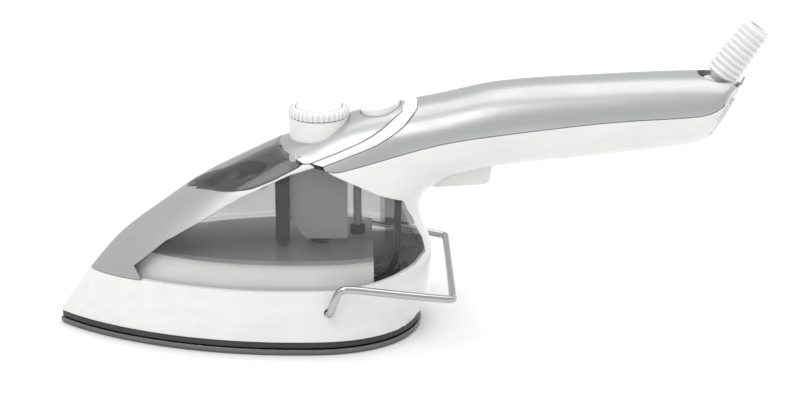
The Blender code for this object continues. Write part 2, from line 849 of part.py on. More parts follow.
def build_front():
    """Silver nose shell."""
    part = within(shell(), prism(front_outline()))
    cut(part, prism(grown(tank_outline(), GAP)))
    cut(part, prism(grown(door_outline(), GAP)))
    cut(part, prism(grown(console_outline(), GAP)))
    cut(part, hinge_clearance())
    return done(part, "front_shell", silver())


def hinge_clearance():
    """Room for the door's knuckles inside the walls."""
    reach = knuckle_reach() + 0.5
    return across(*DOOR_HINGE, -reach, reach, KNUCKLE_RADIUS + GAP, 16)


def knuckle_reach():
    """How far out the door's knuckles come, under the console's skin."""
    return half_width(DOOR_HINGE[0], DOOR_HINGE[1] + KNUCKLE_RADIUS) - 1.7


def build_tank():
    """See-through tank with a raised floor, filler neck and a channel at its rear."""
    part = within(body("tank", 0.0), prism(tank_outline()))
    cut(part, box(58.0, 90.0, -8.0, 8.0, 20.0, 80.0))
    channel = (58.0 - TANK_WALL, 90.0, -8.0 - TANK_WALL, 8.0 + TANK_WALL)
    room = within(body("room", TANK_WALL), prism(grown(tank_outline(), -TANK_WALL)))
    cut(room, box(*channel, 20.0, 80.0))
    cut(room, box(-60.0, 90.0, -50.0, 50.0, 20.0, TANK_FLOOR_Z + TANK_WALL))
    cut(part, room)
    foot = within(body("foot", TANK_WALL), box(-60.0, 90.0, -50.0, 50.0, 20.0, TANK_FLOOR_Z))
    cut(foot, box(*channel, 10.0, 80.0))
    cut(part, foot)
    join(part, upright(FILLER_X, 0.0, 57.4, FILLER_RIM_Z, 6.2, 24))
    cut(part, upright(FILLER_X, 0.0, 50.0, 70.0, 4.8, 24))
    cut(part, upright(KNOB_X, 0.0, 66.0, 80.0, SHAFT_RADIUS + 1.6))
    cut(part, upright(KNOB_X, 0.0, 30.0, 40.0, 3.4 + GAP))
    cut(part, upright(47.4, 0.0, 56.0, 72.0, TUBE_RADIUS + 3.0 * GAP))
    return done(part, "water_tank", smoke())


def arch(depth, rear, low, high, steps=14):
    """Block with the body's pointed plan at each height, cut square at the rear."""
    bm = bmesh.new()
    rings = []
    for k in range(4):
        z = low + (high - low) * k / 3
        front = curve(outlines(depth)[1], z)
        half = []
        for i in range(1, steps + 1):
            x = front + (rear - front) * (1.0 - math.cos(0.5 * math.pi * i / steps))
            half.append((x, dome_half_width(x, z, depth)))
        plan = [(front, 0.0)] + half + [(x, -y) for x, y in half[::-1]]
        rings.append([bm.verts.new(at(x, y, z)) for x, y in plan])
    n = len(rings[0])
    for a, b in zip(rings, rings[1:]):
        for i in range(n):
            bm.faces.new([a[i], a[(i + 1) % n], b[(i + 1) % n], b[i]])
    bm.faces.new(rings[0])
    bm.faces.new(rings[-1])
    bmesh.ops.recalc_face_normals(bm, faces=bm.faces)
    return keep("arch", bm)


def build_tank_base():
    """Pale chassis under the tank floor, open below."""
    part = arch(4.6, 53.0, 22.0, TANK_FLOOR_Z - 0.8)
    cut(part, arch(6.6, 51.0, 20.0, TANK_FLOOR_Z - 2.8))
    cut(part, upright(KNOB_X, 0.0, 25.0, 40.0, 3.4 + GAP))
    return done(part, "tank_base", white())


def build_tray():
    """Pale floor of the filler recess."""
    line = [(-19.0, 48.2), (-13.0, 51.6), (0.0, 59.2), (13.0, 65.6), (20.0, 68.6)]
    band = line + [(x, z + 1.4) for x, z in line[::-1]]
    part = within(body("tray", WALL + GAP), prism(band))
    cut(part, upright(FILLER_X, 0.0, 50.0, 70.0, 6.2 + GAP, 24))
    return done(part, "filler_tray", grey())


def swing_room():
    """Barrel about the door's hinge, out to the console's front edge."""
    rows = []
    for k in range(17):
        share = k / 16
        x = 25.6 + (DOOR_REAR[0] + 0.4 - 25.6) * share
        z = 72.2 + (DOOR_REAR[1] - 0.1 - 72.2) * share
        reach = math.hypot((x - DOOR_HINGE[0]) * KX, (z - DOOR_HINGE[1]) * KZ)
        rows.append((reach + 0.2, half_width(x, z) * KY))
    rows = [(r, -y) for r, y in rows] + [(r, y) for r, y in rows[-2::-1]]
    return spun(rows, at(DOOR_HINGE[0], 0.0, DOOR_HINGE[1]), (0, 1, 0), 40)


def build_door():
    """Smoky lid with its hinge knuckles, cross pin and seal."""
    part = within(shell(), prism(grown(door_outline(), -0.01)))
    cut(part, swing_room())
    cut(part, box(DOOR_HINGE[0], 30.0, -40.0, 40.0, 60.0, 90.0))
    reach = knuckle_reach()
    arm = [(24.2, 71.8), (15.0, 70.6), (15.0, 69.2), (20.0, 70.4), (24.2, 71.1)]
    for side in (1.0, -1.0):
        ends = sorted((side * 8.0, side * reach))
        join(part, prism(arm, *sorted((side * (reach - 2.2), side * reach))))
        join(part, across(*DOOR_HINGE, *ends, KNUCKLE_RADIUS, 16))
        cut(part, across(*DOOR_HINGE, side * 6.0, side * (reach - 1.6), PIN_RADIUS))
    hinge = at(DOOR_HINGE[0], 0.0, DOOR_HINGE[1])
    done(part, "filler_door", smoke(), hinge)
    pin = across(*DOOR_HINGE, -reach + 2.0, reach - 2.0, PIN_RADIUS - GAP, 12)
    done(pin, "door_hinge_pin", steel())
    seal = upright(FILLER_X, 0.0, FILLER_RIM_Z + GAP, FILLER_RIM_Z + 1.8, 5.8, 20)
    return done(seal, "door_seal", rubber())


def build_console():
    """Silver console panel and the white band round it."""
    part = within(shell(), prism(console_outline()))
    cut(part, prism(grown(door_outline(), GAP)))
    cut(part, upright(KNOB_X, 0.0, 70.0, 95.0, SHAFT_RADIUS + 1.6))
    cut(part, lens_solid(GAP, -6.0, 8.0))
    cut(part, hinge_clearance())
    done(part, "console_panel", silver())
    band = within(shell(), prism(trim_outline()))
    cut(band, prism(grown(console_outline(), GAP)))
    return done(band, "console_trim", white())


def lens_solid(extra, low, high):
    """Oval pad that lies along the console's slope."""
    centre = at(56.2, 0.0, 90.0)
    slope = math.atan2(curve(RIDGE, 64.0) - curve(RIDGE, 49.0), 15.0)
    way = Vector((-math.sin(slope), 0.0, math.cos(slope)))
    rise = high - 1.0
    rows = [(0.9, low), (0.9, rise), (0.86, rise + 0.45), (0.7, high - 0.12), (0.35, high)]
    if extra:
        rows = [(0.9, low), (0.9, high)]
    bm = bmesh.new()
    rings = []
    for share, height in rows:
        ring = []
        for i in range(28):
            angle = 2.0 * math.pi * i / 28
            px = (8.8 * share + extra) * math.cos(angle)
            py = (8.4 * share + extra) * math.sin(angle)
            spot = Vector((px * math.cos(slope), py, px * math.sin(slope))) * MM
            ring.append(bm.verts.new(centre + spot + way * height * MM))
        rings.append(ring)
    for a, b in zip(rings, rings[1:]):
        for i in range(28):
            bm.faces.new([a[i], a[(i + 1) % 28], b[(i + 1) % 28], b[i]])
    bm.faces.new(rings[0])
    bm.faces.new(rings[-1])
    bmesh.ops.recalc_face_normals(bm, faces=bm.faces)
    return keep("lens", bm)


def build_lens():
    """Raised pale pad over the pilot lamp, and the lamp."""
    done(lens_solid(0.0, -1.6, 2.2), "indicator_lens", white())
    lamp = upright(56.2, 0.0, 81.0, 87.6, 2.4, 12)
    done(lamp, "pilot_lamp", grey())


def build_knob():
    """Pedestal, ribbed knob, top disc and the valve's moving parts."""
    top = KNOB_UNDER_Z
    low = 73.0
    r = KNOB_RADIUS
    rows = [(0.84, 0.0), (0.92, 2.6), (0.955, 5.6), (0.97, 9.0), (0.97, top - GAP - low)]
    bowl = spun([(share * r, h * KZ) for share, h in rows], at(KNOB_X, 0.0, low), (0, 0, 1), 36)
    cut(bowl, body("seat", -GAP))
    cut(bowl, upright(KNOB_X, 0.0, 70.0, 95.0, SHAFT_RADIUS + 1.2))
    done(bowl, "knob_pedestal", white())
    dish = r - 2.7
    rim = [
        (3.4, 0.0), (r - 0.7, 0.0), (r, 0.5), (r, KNOB_RIM - 0.8), (r - 0.7, KNOB_RIM),
        (dish, KNOB_RIM), (dish - 0.2, KNOB_RIM - 1.2), (3.4, KNOB_RIM - 1.2), (3.4, 0.0),
    ]
    base = at(KNOB_X, 0.0, top)
    knob = spun(rim, base, (0, 0, 1), KNOB_RIBS * 2, ribs=KNOB_RIBS, rib_depth=0.5)
    done(knob, "steam_knob", white(), base)
    face = KNOB_RIM - 1.2 + GAP
    disc = spun(
        [(dish - 0.6, face), (dish - 0.6, face + 1.0), (dish - 1.2, face + 1.3), (3.0, face + 1.5)],
        base, (0, 0, 1), 32,
    )
    done(disc, "knob_disc", white(), base)
    shaft = rod(at(KNOB_X, 0.0, 46.0), base + Vector((0, 0, (face - GAP) * MM)), SHAFT_RADIUS)
    cut(shaft, upright(KNOB_X, 0.0, 40.0, 58.0, NEEDLE_RADIUS + 0.3, 12))
    done(shaft, "knob_shaft", grey(), at(KNOB_X, 0.0, 46.0))
    spin = SHAFT_RADIUS
    seal = [
        (spin + 0.25, 0.0), (spin + 3.4, 0.0), (spin + 3.4, 1.6), (spin + 0.25, 1.6),
        (spin + 0.25, 0.0),
    ]
    done(spun(seal, at(KNOB_X, 0.0, 72.0), (0, 0, 1), 20), "shaft_seal", rubber())
    needle = spun(
        [(0.9, 0.0), (1.5, 2.0), (1.5, 6.0), (NEEDLE_RADIUS, 6.4), (NEEDLE_RADIUS, 16.0)],
        at(KNOB_X, 0.0, 35.0), (0, 0, 1), 12,
    )
    return done(needle, "valve_needle", steel(), at(KNOB_X, 0.0, 35.0))


def build_tower():
    """Pale tower inside the tank that guides the valve shaft."""
    low = TANK_FLOOR_Z + TANK_WALL + GAP
    outline = [
        (26.0, low), (43.0, low), (43.0, 63.0), (29.0, 66.8), (20.0, 63.4), (20.0, 46.0),
    ]
    part = prism(outline, -6.0, 6.0)
    cut(part, upright(KNOB_X, 0.0, 30.0, 75.0, SHAFT_RADIUS + 1.0))
    cut(part, upright(KNOB_X, 0.0, 30.0, low + 3.2, 3.4 + GAP))
    return done(part, "valve_tower", grey())


def build_baffle():
    """Dark cross wall that stops water surging inside the tank."""
    wall = box(14.4, 19.8, -9.0, 9.0, TANK_FLOOR_Z + TANK_WALL + GAP, 61.4)
    return done(wall, "tank_baffle", charcoal())


def build_valve():
    """Valve seat in the tank floor and the drip tube below it."""
    seat = [
        (1.9, 0.0), (3.4, 0.0), (3.4, 7.4), (1.9, 7.4), (1.9, 0.0),
    ]
    done(spun(seat, at(KNOB_X, 0.0, 32.4), (0, 0, 1), 16), "valve_seat", rubber())
    drip = [(1.1, 0.0), (2.0, 0.0), (2.0, 18.6), (1.1, 18.6), (1.1, 0.0)]
    done(spun(drip, at(KNOB_X, 0.0, 13.4), (0, 0, 1), 14), "drip_nozzle", grey())


def build_pump():
    """Pump barrel, piston, spring, hoses and strainer."""
    low, high = 76.0, 90.0
    bore = PISTON_RADIUS + 0.35
    tall = (high - low) * KZ
    wall = [
        (bore, 0.0), (PUMP_RADIUS, 0.0), (PUMP_RADIUS, tall), (1.0, tall),
        (1.0, tall - 1.8), (bore, tall - 1.8), (bore, 0.0),
    ]
    done(spun(wall, at(PUMP_X, 0.0, low), (0, 0, 1), 20), "pump_body", grey())
    foot = TRIGGER_TOP_Z + GAP
    stem = (low + 1.0 - foot) * KZ
    rows = [(STEM_RADIUS, 0.0), (STEM_RADIUS, stem), (PISTON_RADIUS, stem + 0.4)]
    rows += [(PISTON_RADIUS, stem + 3.4), (1.2, stem + 3.4), (1.2, stem + 5.4)]
    place = at(PUMP_X, 0.0, foot)
    done(spun(rows, place, (0, 0, 1), 16), "pump_piston", charcoal(), place)
    start = foot + stem / KZ + 4.2
    turns, wide = 3.5, 2.4
    rise = high - 2.9 - start
    coil = []
    for i in range(29):
        angle = 2.0 * math.pi * turns * i / 28
        x = PUMP_X + wide * math.cos(angle)
        coil.append((x, wide * math.sin(angle), start + rise * i / 28))
    done(pipe(coil, 0.35, 6, 1), "pump_spring", steel())
    suck = [(47.0, 0.0, 41.0), (47.0, 0.0, 58.0), (48.5, 0.0, 66.0), (56.0, 0.0, 73.0)]
    suck += [(70.0, 0.0, 79.0), (80.0, 0.0, 82.0), (85.0, 0.0, 82.6)]
    done(pipe(suck, TUBE_RADIUS, 7, 3, 0.9), "suction_tube", clear())
    done(upright(47.0, 0.0, 37.4, 40.6, 3.0, 12), "suction_filter", charcoal())
    push = [(91.0, 6.2, 83.0), (89.0, 9.4, 81.5), (80.0, 8.4, 76.0), (68.0, 5.0, 66.0)]
    push += [(63.4, 4.5, 55.0), (63.0, 4.5, 34.0), (58.6, 4.5, 21.4), (50.0, 4.5, 18.8)]
    push += [(46.0, 4.5, 16.8), (46.0, 4.5, 13.6)]
    done(pipe(push, 1.5, 7, 2, 0.8), "delivery_tube", clear())


def build_trigger():
    """Wedge trigger under the handle, with its cross pin."""
    outline = [
        (76.2, 59.0), (78.0, 58.3), (97.4, 59.4), (99.2, 60.4), (100.2, 66.0),
        (100.2, TRIGGER_TOP_Z), (85.0, TRIGGER_TOP_Z), (80.5, 67.0), (76.4, 66.6),
    ]
    half = TRIGGER_HALF_WIDTH
    part = prism(outline, -half, half)
    cut(part, across(*TRIGGER_HINGE, -half - 1.0, half + 1.0, PIN_RADIUS + 0.2))
    cut(part, box(84.0, 98.4, -half + 1.6, half - 1.6, 61.4, 66.8))
    cut(part, box(95.0, 97.0, -half + 1.6, half - 1.6, 60.0, 72.0))
    done(part, "steam_trigger", white(), at(TRIGGER_HINGE[0], 0.0, TRIGGER_HINGE[1]))
    reach = TRIGGER_HALF_WIDTH + 3.2
    pin = across(*TRIGGER_HINGE, -reach, reach, PIN_RADIUS - 0.1, 12)
    return done(pin, "trigger_pin", steel())


def build_handle_top():
    """Silver shell over the handle."""
    part = within(shell(), prism(top_outline()))
    cut(part, prism(grown(trim_outline(), GAP)))
    join(part, box(86.5, 95.5, -4.5, 4.5, 90.0 + GAP, 95.0))
    cut(part, rod(sleeve_point(-9.0), sleeve_point(12.0), SLEEVE_RADIUS + 1.2, 28))
    return done(part, "handle_top_shell", silver())


def build_cord_end():
    """Turning sleeve with its ball, the socket, clamp and terminal block."""
    rows = [(3.2, -12.4)]
    for i in range(7):
        angle = math.radians(-60.0 + 120.0 * i / 6)
        rows.append((BALL_RADIUS * math.cos(angle), -7.0 + BALL_RADIUS * math.sin(angle)))
    rows += [(4.8, -0.6), (SLEEVE_RADIUS - 0.6, 0.4)]
    count = int(SLEEVE_LENGTH / SLEEVE_RIB_PITCH)
    for i in range(count):
        start = 0.8 + i * SLEEVE_RIB_PITCH
        wide = SLEEVE_RADIUS - 1.1 * i / count
        rows += [(wide, start), (wide, start + 1.4), (wide - 0.9, start + 1.9)]
    end = rows[-1][1]
    rows += [(3.2, end), (3.2, -12.4)]
    base = sleeve_point(0.0)
    done(spun(rows, base, sleeve_way(), 18), "cord_sleeve", white(), base)
    inner = BALL_RADIUS + 0.35
    cup = []
    for angle in (-50.0, -35.0, -18.0, 0.0):
        turn = math.radians(angle)
        cup.append((inner * math.cos(turn), -7.0 + inner * math.sin(turn)))
    cup += [(7.1, -7.0), (7.1, -9.0), (5.4, cup[0][1])]
    cup.append(cup[0])
    done(spun(cup, base, sleeve_way(), 18), "swivel_socket", grey())
    clamp = box(165.6, 173.0, -7.0, 7.0, 77.9, 90.0)
    cut(clamp, rod(at(160.0, 0.0, 87.4), at(180.0, 0.0, 87.4), 2.0, 12))
    done(clamp, "cord_clamp", grey())
    done(box(136.0, 151.0, -7.0, 7.0, 75.0, 86.0), "terminal_block", white())


def build_leads():
    """Two insulated wires from the terminal block down to the heater."""
    ways = {"live_lead": (0.0, 0.0), "neutral_lead": (3.2, 3.4)}
    for name, (side, drop) in ways.items():
        y = -9.2 + 0.4 * side
        points = [(134.6, -4.6 + 2.6 * side, 81.6), (118.0, -8.0, 84.6 - drop)]
        points += [(100.0, y, 85.6 - drop), (88.0, y, 81.6 - drop), (78.0, y + 0.8, 77.0 - drop)]
        points += [(68.0, -6.0 + side, 65.0 - drop), (63.6, -6.0 + side, 54.0)]
        points += [(63.0, -6.0 + side, 34.0), (60.0, -6.4 + side, 22.4)]
        points += [(52.0, -7.4 + side, 18.6), (40.0, -8.0 + side, 18.2), (21.0, -7.0 + side, 17.4)]
        done(pipe(points, LEAD_RADIUS, 6, 2), name, rubber())


def build_stand():
    """Bent wire bail and its two bushings."""
    x, z = STAND_PIVOT
    side = [
        (x, 33.5, z), (x, 38.6, z), (x + 0.8, 41.0, z + 1.8), (x + 2.6, 41.4, z + 7.2),
        (x + 4.6, 41.4, z + 10.4), (x + 9.0, 41.2, z + 11.0), (62.0, 39.4, 25.8),
        (80.6, 37.0, 22.8), (83.4, 35.4, 22.4), (83.8, 32.4, 22.4),
    ]
    loop = side + [(83.8, 0.0, 22.4)] + [(px, -py, pz) for px, py, pz in side[::-1]]
    part = pipe(loop, WIRE_RADIUS, 8, 2)
    done(part, "stand_wire", steel(), at(x, 0.0, z))
    for name, sign in (("stand_bushing_left", 1.0), ("stand_bushing_right", -1.0)):
        inner = WIRE_RADIUS + GAP + 0.05
        ring = [(inner, 0.0), (3.6, 0.0), (3.6, 2.2), (inner, 2.2), (inner, 0.0)]
        wide = half_width(x, z) - WALL - 1.1
        part = spun(ring, at(x, sign * wide, z), (0.0, -sign, 0.0), 16)
        done(part, name, charcoal())


def build_screws():
    """Housing screws in the handle and sole screws."""
    rows = [(2.9, 0.0), (2.9, 1.2), (1.5, 2.2), (1.5, 8.6)]
    for i, x in enumerate(HANDLE_SCREWS):
        base = at(x, 0.0, handle_floor(x) + 1.6)
        screw = spun(rows, base, (0, 0, 1), 14)
        done(screw, "handle_screw_%d" % (i + 1), steel(), base)
    low = SOLE_THICK + GAP + 0.1
    rows = [(2.1, 0.0), (2.1, 1.0), (1.3, 1.2), (1.3, 9.2)]
    for i, (x, y) in enumerate(shield_screw_places()):
        base = at(x, y, low)
        done(spun(rows, base, (0, 0, 1), 12), "shield_screw_%d" % (i + 1), steel(), base)


def main():
    for obj in list(bpy.data.objects):
        bpy.data.objects.remove(obj, do_unlink=True)
    build_soleplate()
    build_shield()
    build_heater()
    build_thermostat()
    build_housing()
    build_front()
    build_tank()
    build_tank_base()
    build_tray()
    build_door()
    build_console()
    build_lens()
    build_knob()
    build_tower()
    build_baffle()
    build_valve()
    build_pump()
    build_trigger()
    build_handle_top()
    build_cord_end()
    build_leads()
    build_stand()
    build_screws()


main()
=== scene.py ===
"""Looks of a handheld steamer iron, laid over its packed working parts."""

import json
import logging
import math
from dataclasses import dataclass, field
from enum import Enum
from typing import Callable, Optional, Sequence

import bmesh
import bpy
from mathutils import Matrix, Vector
from mathutils.bvhtree import BVHTree
from mathutils.interpolate import poly_3d_calc


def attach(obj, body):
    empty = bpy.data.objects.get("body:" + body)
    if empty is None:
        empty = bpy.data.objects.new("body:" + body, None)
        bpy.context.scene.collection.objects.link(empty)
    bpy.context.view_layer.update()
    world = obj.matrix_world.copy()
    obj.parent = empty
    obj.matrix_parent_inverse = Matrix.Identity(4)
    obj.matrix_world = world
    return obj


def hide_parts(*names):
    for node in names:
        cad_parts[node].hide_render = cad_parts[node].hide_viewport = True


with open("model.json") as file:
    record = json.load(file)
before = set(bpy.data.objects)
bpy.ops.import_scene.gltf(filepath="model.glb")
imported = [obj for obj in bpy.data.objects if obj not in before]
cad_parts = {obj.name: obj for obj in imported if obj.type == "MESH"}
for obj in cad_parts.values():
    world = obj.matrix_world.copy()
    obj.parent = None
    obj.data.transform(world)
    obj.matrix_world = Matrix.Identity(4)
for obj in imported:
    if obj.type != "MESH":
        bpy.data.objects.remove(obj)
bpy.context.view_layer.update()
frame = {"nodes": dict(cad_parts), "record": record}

logging.basicConfig(level=logging.INFO, format="%(message)s")
log = logging.getLogger("iron")

MM = 0.001
Point = tuple[float, float]
Triple = tuple[float, float, float]

# Side-view lines of the body, as (x, z) in millimetres.
SKIRT_FOOT = 5.6
NOSE_X = -73.0
HEEL_X = 72.5
WIDEST_X = 28.0
RIDGE = [
    (NOSE_X, SKIRT_FOOT), (-61.0, 23.0), (-48.0, 38.2), (-32.0, 50.5), (-16.0, 61.4),
    (0.0, 69.5), (16.0, 76.5), (48.0, 88.0), (80.0, 94.6), (104.0, 99.5),
    (144.0, 102.0), (180.0, 103.2), (200.0, 102.6),
]
HEEL = [
    (HEEL_X, SKIRT_FOOT), (75.6, 20.0), (76.4, 33.0), (73.4, 41.6), (71.6, 50.0),
    (75.5, 57.5), (84.0, 62.4),
]
UNDERSIDE = [(84.0, 62.4), (104.0, 66.5), (144.0, 70.4), (180.0, 74.8), (187.0, 76.6)]
HALF_WIDTH = [
    (SKIRT_FOOT, 38.5), (15.0, 38.2), (26.0, 36.6), (36.0, 33.6), (46.0, 29.6),
    (56.0, 25.0), (66.0, 20.4), (74.0, 15.6), (80.0, 9.0), (86.0, 0.0),
]
HANDLE_HALF_WIDTH = [
    (-14.0, 5.0), (0.0, 11.0), (16.0, 15.0), (32.0, 17.0), (60.0, 17.8), (104.0, 17.5),
    (180.0, 16.0), (202.0, 15.5),
]
HANDLE_FLOOR = [(-14.0, 44.0), (30.0, 54.0), (60.0, 57.0), (84.0, 62.4)]
KNOB_X = 32.0
KNOB_UNDER_Z = 87.2
KNOB_RADIUS = 12.3
KNOB_RIM = 3.6
KNOB_RIB_COUNT = 34
STAND_PIVOT = (35.2, 17.6)
WIRE_RADIUS = 1.5
SLEEVE_BASE = (190.4, 101.8)
SLEEVE_TILT = math.radians(55.0)
SLEEVE_RIB_PITCH = 2.4
SLEEVE_RIB_COUNT = 10
STEAM_HOLE_RADIUS = 1.6
STEAM_HOLES_A_SIDE = 7
SOLE_THICK = 2.5
PEDESTAL_LOW_Z = 73.0
SHIELD_LOW = 2.8
SHIELD_HIGH = 5.3

# Rear end of the handle: its lower corner, and how far it leans back over its height.
GRIP_END_X = 187.0
GRIP_END_Z = 76.6
GRIP_TOP_Z = 101.0
GRIP_RISE = 24.4
GRIP_LEAN = 14.4
GRIP_LEAN_HEIGHT = 26.0
GRIP_START_X = -14.0
BLEND_POWER = 6

# The pale pad behind the knob, and the two stations that give its slope.
PAD_CENTRE = (56.2, 0.0, 90.0)
PAD_HALF_LENGTH = 8.8
PAD_HALF_WIDTH = 8.4
PAD_STATIONS = (49.0, 64.0)

# The studio, in metres.
FLOOR_HALF = 3.0
FLOOR_DROP = 0.00005


class Body(Enum):
    """Bodies of the working model that shown pieces ride on."""

    IRON = "iron"
    KNOB = "knob"
    DOOR = "door"
    STAND = "stand"
    SWIVEL = "swivel"


class Skin(Enum):
    """Which face of a wall a facet belongs to."""

    NONE = 0
    OUTER = 1
    INNER = 2


# ---------------------------------------------------------------- surface

def curve(table: Sequence[Point], value: float) -> float:
    """Read a smooth curve.

    Args:
        table: Rising (position, height) pairs.
        value: Position to read at.

    Returns:
        Height of the curve there.
    """
    last = len(table) - 2
    i = 0
    while i < last and value > table[i + 1][0]:
        i += 1
    (x0, y0), (x1, y1) = table[i], table[i + 1]
    xa, ya = table[i - 1] if i > 0 else (x0, y0)
    xb, yb = table[i + 2] if i < last else (x1, y1)
    step = x1 - x0
    t = min(1.0, max(0.0, (value - x0) / step))
    m0 = (y1 - ya) / (x1 - xa) * step
    m1 = (yb - y0) / (xb - x0) * step
    t2, t3 = t * t, t * t * t
    return (
        (2 * t3 - 3 * t2 + 1) * y0 + (t3 - 2 * t2 + t) * m0
        + (3 * t2 - 2 * t3) * y1 + (t3 - t2) * m1
    )


def flowing(points: Sequence[Sequence[float]], steps: int) -> list[tuple[float, ...]]:
    """Carry a smooth curve through points.

    Args:
        points: Points to pass through.
        steps: Spans between two neighbours.

    Returns:
        The finer points.
    """
    out: list[tuple[float, ...]] = []
    for i in range(len(points) - 1):
        p1, p2 = Vector(points[i]), Vector(points[i + 1])
        p0 = Vector(points[i - 1]) if i > 0 else p1 - (p2 - p1)
        p3 = Vector(points[i + 2]) if i + 2 < len(points) else p2 + (p2 - p1)
        for k in range(steps):
            t = k / steps
            spot = 2 * p1 + (p2 - p0) * t + (2 * p0 - 5 * p1 + 4 * p2 - p3) * t * t
            spot = spot + (3 * p1 - p0 - 3 * p2 + p3) * t * t * t
            out.append(tuple(0.5 * spot))
    out.append(tuple(Vector(points[-1])))
    return out


def along(points: Sequence[Point], share: float) -> Vector:
    """Find the point at a share of a line's length.

    Args:
        points: Corners of the line.
        share: 0 at its start and 1 at its end.

    Returns:
        The point.
    """
    spans = [(Vector(b) - Vector(a)).length for a, b in zip(points, points[1:])]
    left = share * sum(spans)
    for a, b, span in zip(points, points[1:], spans):
        if left <= span:
            return Vector(a).lerp(Vector(b), left / span)
        left -= span
    return Vector(points[-1])


HEEL_BY_HEIGHT = sorted((z, x) for x, z in HEEL) + [(80.0, 86.0)]


@dataclass
class BodySurface:
    """Skin of the whole body, moved inwards by a depth in millimetres."""

    depth: float = 0.0
    top: list[Point] = field(default_factory=list)
    front: list[Point] = field(default_factory=list)

    def __post_init__(self) -> None:
        for i in range(92):
            x = NOSE_X + 3.0 * i
            slope = curve(RIDGE, x + 0.5) - curve(RIDGE, x - 0.5)
            self.top.append((x, curve(RIDGE, x) - self.depth * math.sqrt(1.0 + slope * slope)))
        self.front = [(z, x + 0.25 * self.depth) for x, z in self.top if x <= 80.0]

    def dome(self, x: float, z: float) -> float:
        """Half-width of the part over the soleplate at a side-view point."""
        front = curve(self.front, z)
        rear = curve(HEEL_BY_HEIGHT, z) - self.depth
        if not front < x < rear:
            return 0.0
        rise = min(1.0, max(0.0, (z - SKIRT_FOOT) / 70.0))
        widest = min(rear - 4.0, max(WIDEST_X, front + 14.0))
        width = max(0.0, curve(HALF_WIDTH, z) - 1.08 * self.depth)
        if x < widest:
            share = (widest - x) / (widest - front)
            return width * (1.0 - share**2.1) ** (0.86 - 0.36 * rise**0.6)
        share = (x - widest) / (rear - widest)
        return width * (1.0 - share**2.3) ** 0.5

    def handle(self, x: float, z: float) -> float:
        """Half-width of the handle at a side-view point."""
        top = curve(self.top, x)
        floor = handle_floor(x) + self.depth
        if x < GRIP_START_X or not floor < z < top:
            return 0.0
        high = (2.0 * z - top - floor) / (top - floor)
        width = curve(HANDLE_HALF_WIDTH, x) - self.depth
        width *= (1.0 - abs(high) ** 2.2) ** (1 / 2.2)
        back = GRIP_END_X + GRIP_LEAN * (z - GRIP_END_Z) / GRIP_LEAN_HEIGHT
        back = back - 1.15 * self.depth - x
        if back < 10.0:
            width *= (1.0 - (1.0 - max(0.0, back) / 10.0) ** 2.6) ** 0.5
        return width

    def half_width(self, x: float, z: float) -> float:
        """Half-width of the whole body at a side-view point."""
        total = self.dome(x, z) ** BLEND_POWER + self.handle(x, z) ** BLEND_POWER
        return total ** (1 / BLEND_POWER)

    def sole_outline(self, steps: int) -> list[Point]:
        """Plan outline of the skirt's foot."""
        z = SKIRT_FOOT + 1e-4
        front = curve(self.front, z)
        rear = curve(HEEL_BY_HEIGHT, z) - self.depth
        half = [(front, 0.0)]
        for i in range(1, steps):
            x = front + (rear - front) * (0.5 - 0.5 * math.cos(math.pi * i / steps))
            half.append((x, self.dome(x, z)))
        half.append((rear, 0.0))
        return half + [(x, -y) for x, y in half[-2:0:-1]]

    def stations(self, sole: int, heel: int, grip: int) -> list[tuple[Vector, Vector, Vector]]:
        """Curves (bottom, bend, top) that sweep the side view from nose to rear end."""
        depth = self.depth
        nose = curve(self.front, SKIRT_FOOT)
        lean = GRIP_LEAN * (GRIP_RISE - depth) / GRIP_LEAN_HEIGHT
        last = (GRIP_END_X + lean - 1.15 * depth, GRIP_TOP_Z - depth)
        ridge = [(nose, SKIRT_FOOT)] + [(float(x), curve(self.top, x)) for x in range(-72, 199)]
        ridge = [p for p in ridge if p[0] >= nose] + [last]
        low = [p for p in ridge if p[0] <= 50.0]
        mid = [p for p in ridge if 50.0 <= p[0] <= 90.0]
        high = [p for p in ridge if p[0] >= 90.0]
        rear = [(x - depth * (1.0 if z < 60.0 else 0.3), z) for x, z in HEEL[:-1]]
        rear = flowing(rear + [(84.0, 62.4 + depth)], 8)
        under = [(84.0 + 2.5 * i, handle_floor(84.0 + 2.5 * i) + depth) for i in range(41)]
        under.append((GRIP_END_X - 1.15 * depth, GRIP_END_Z + depth))
        foot = [(nose, SKIRT_FOOT), (HEEL_X - depth, SKIRT_FOOT)]
        out = []
        for i in range(sole):
            t = i / sole
            a, b = along(foot, t**1.25), along(low, t**1.1)
            out.append((a, (a + b) / 2.0 - Vector((14.0 * t**5, 0.0)), b))
        for i in range(heel):
            t = i / heel
            a, b = along(rear, t), along(mid, t)
            bow = Vector((14.0 * math.cos(0.5 * math.pi * t) ** 0.7, 0.0))
            out.append((a, (a + b) / 2.0 - bow, b))
        for i in range(grip + 1):
            t = math.sin(0.5 * math.pi * i / grip) * 0.35 + 0.65 * i / grip
            a, b = along(under, t), along(high, t)
            out.append((a, (a + b) / 2.0, b))
        return out

    def inside_span(self, station: tuple[Vector, Vector, Vector]) -> Point:
        """The part of a station's curve that lies inside the body."""
        marks = [k / 60 for k in range(61)]
        full = [self.half_width(*bent(station, t)) > 0.05 for t in marks]
        if not any(full):
            return 0.0, 1.0
        first = full.index(True)
        last = first
        while last < 60 and full[last + 1]:
            last += 1
        ends = []
        for edge, outer in ((first, first - 1), (last, last + 1)):
            if not 0 <= outer <= 60:
                ends.append(marks[edge])
                continue
            good, bad = marks[edge], marks[outer]
            for _ in range(14):
                half = (good + bad) / 2.0
                inside = self.half_width(*bent(station, half)) > 0.0
                good, bad = (half, bad) if inside else (good, half)
            ends.append(good)
        return ends[0], ends[1]

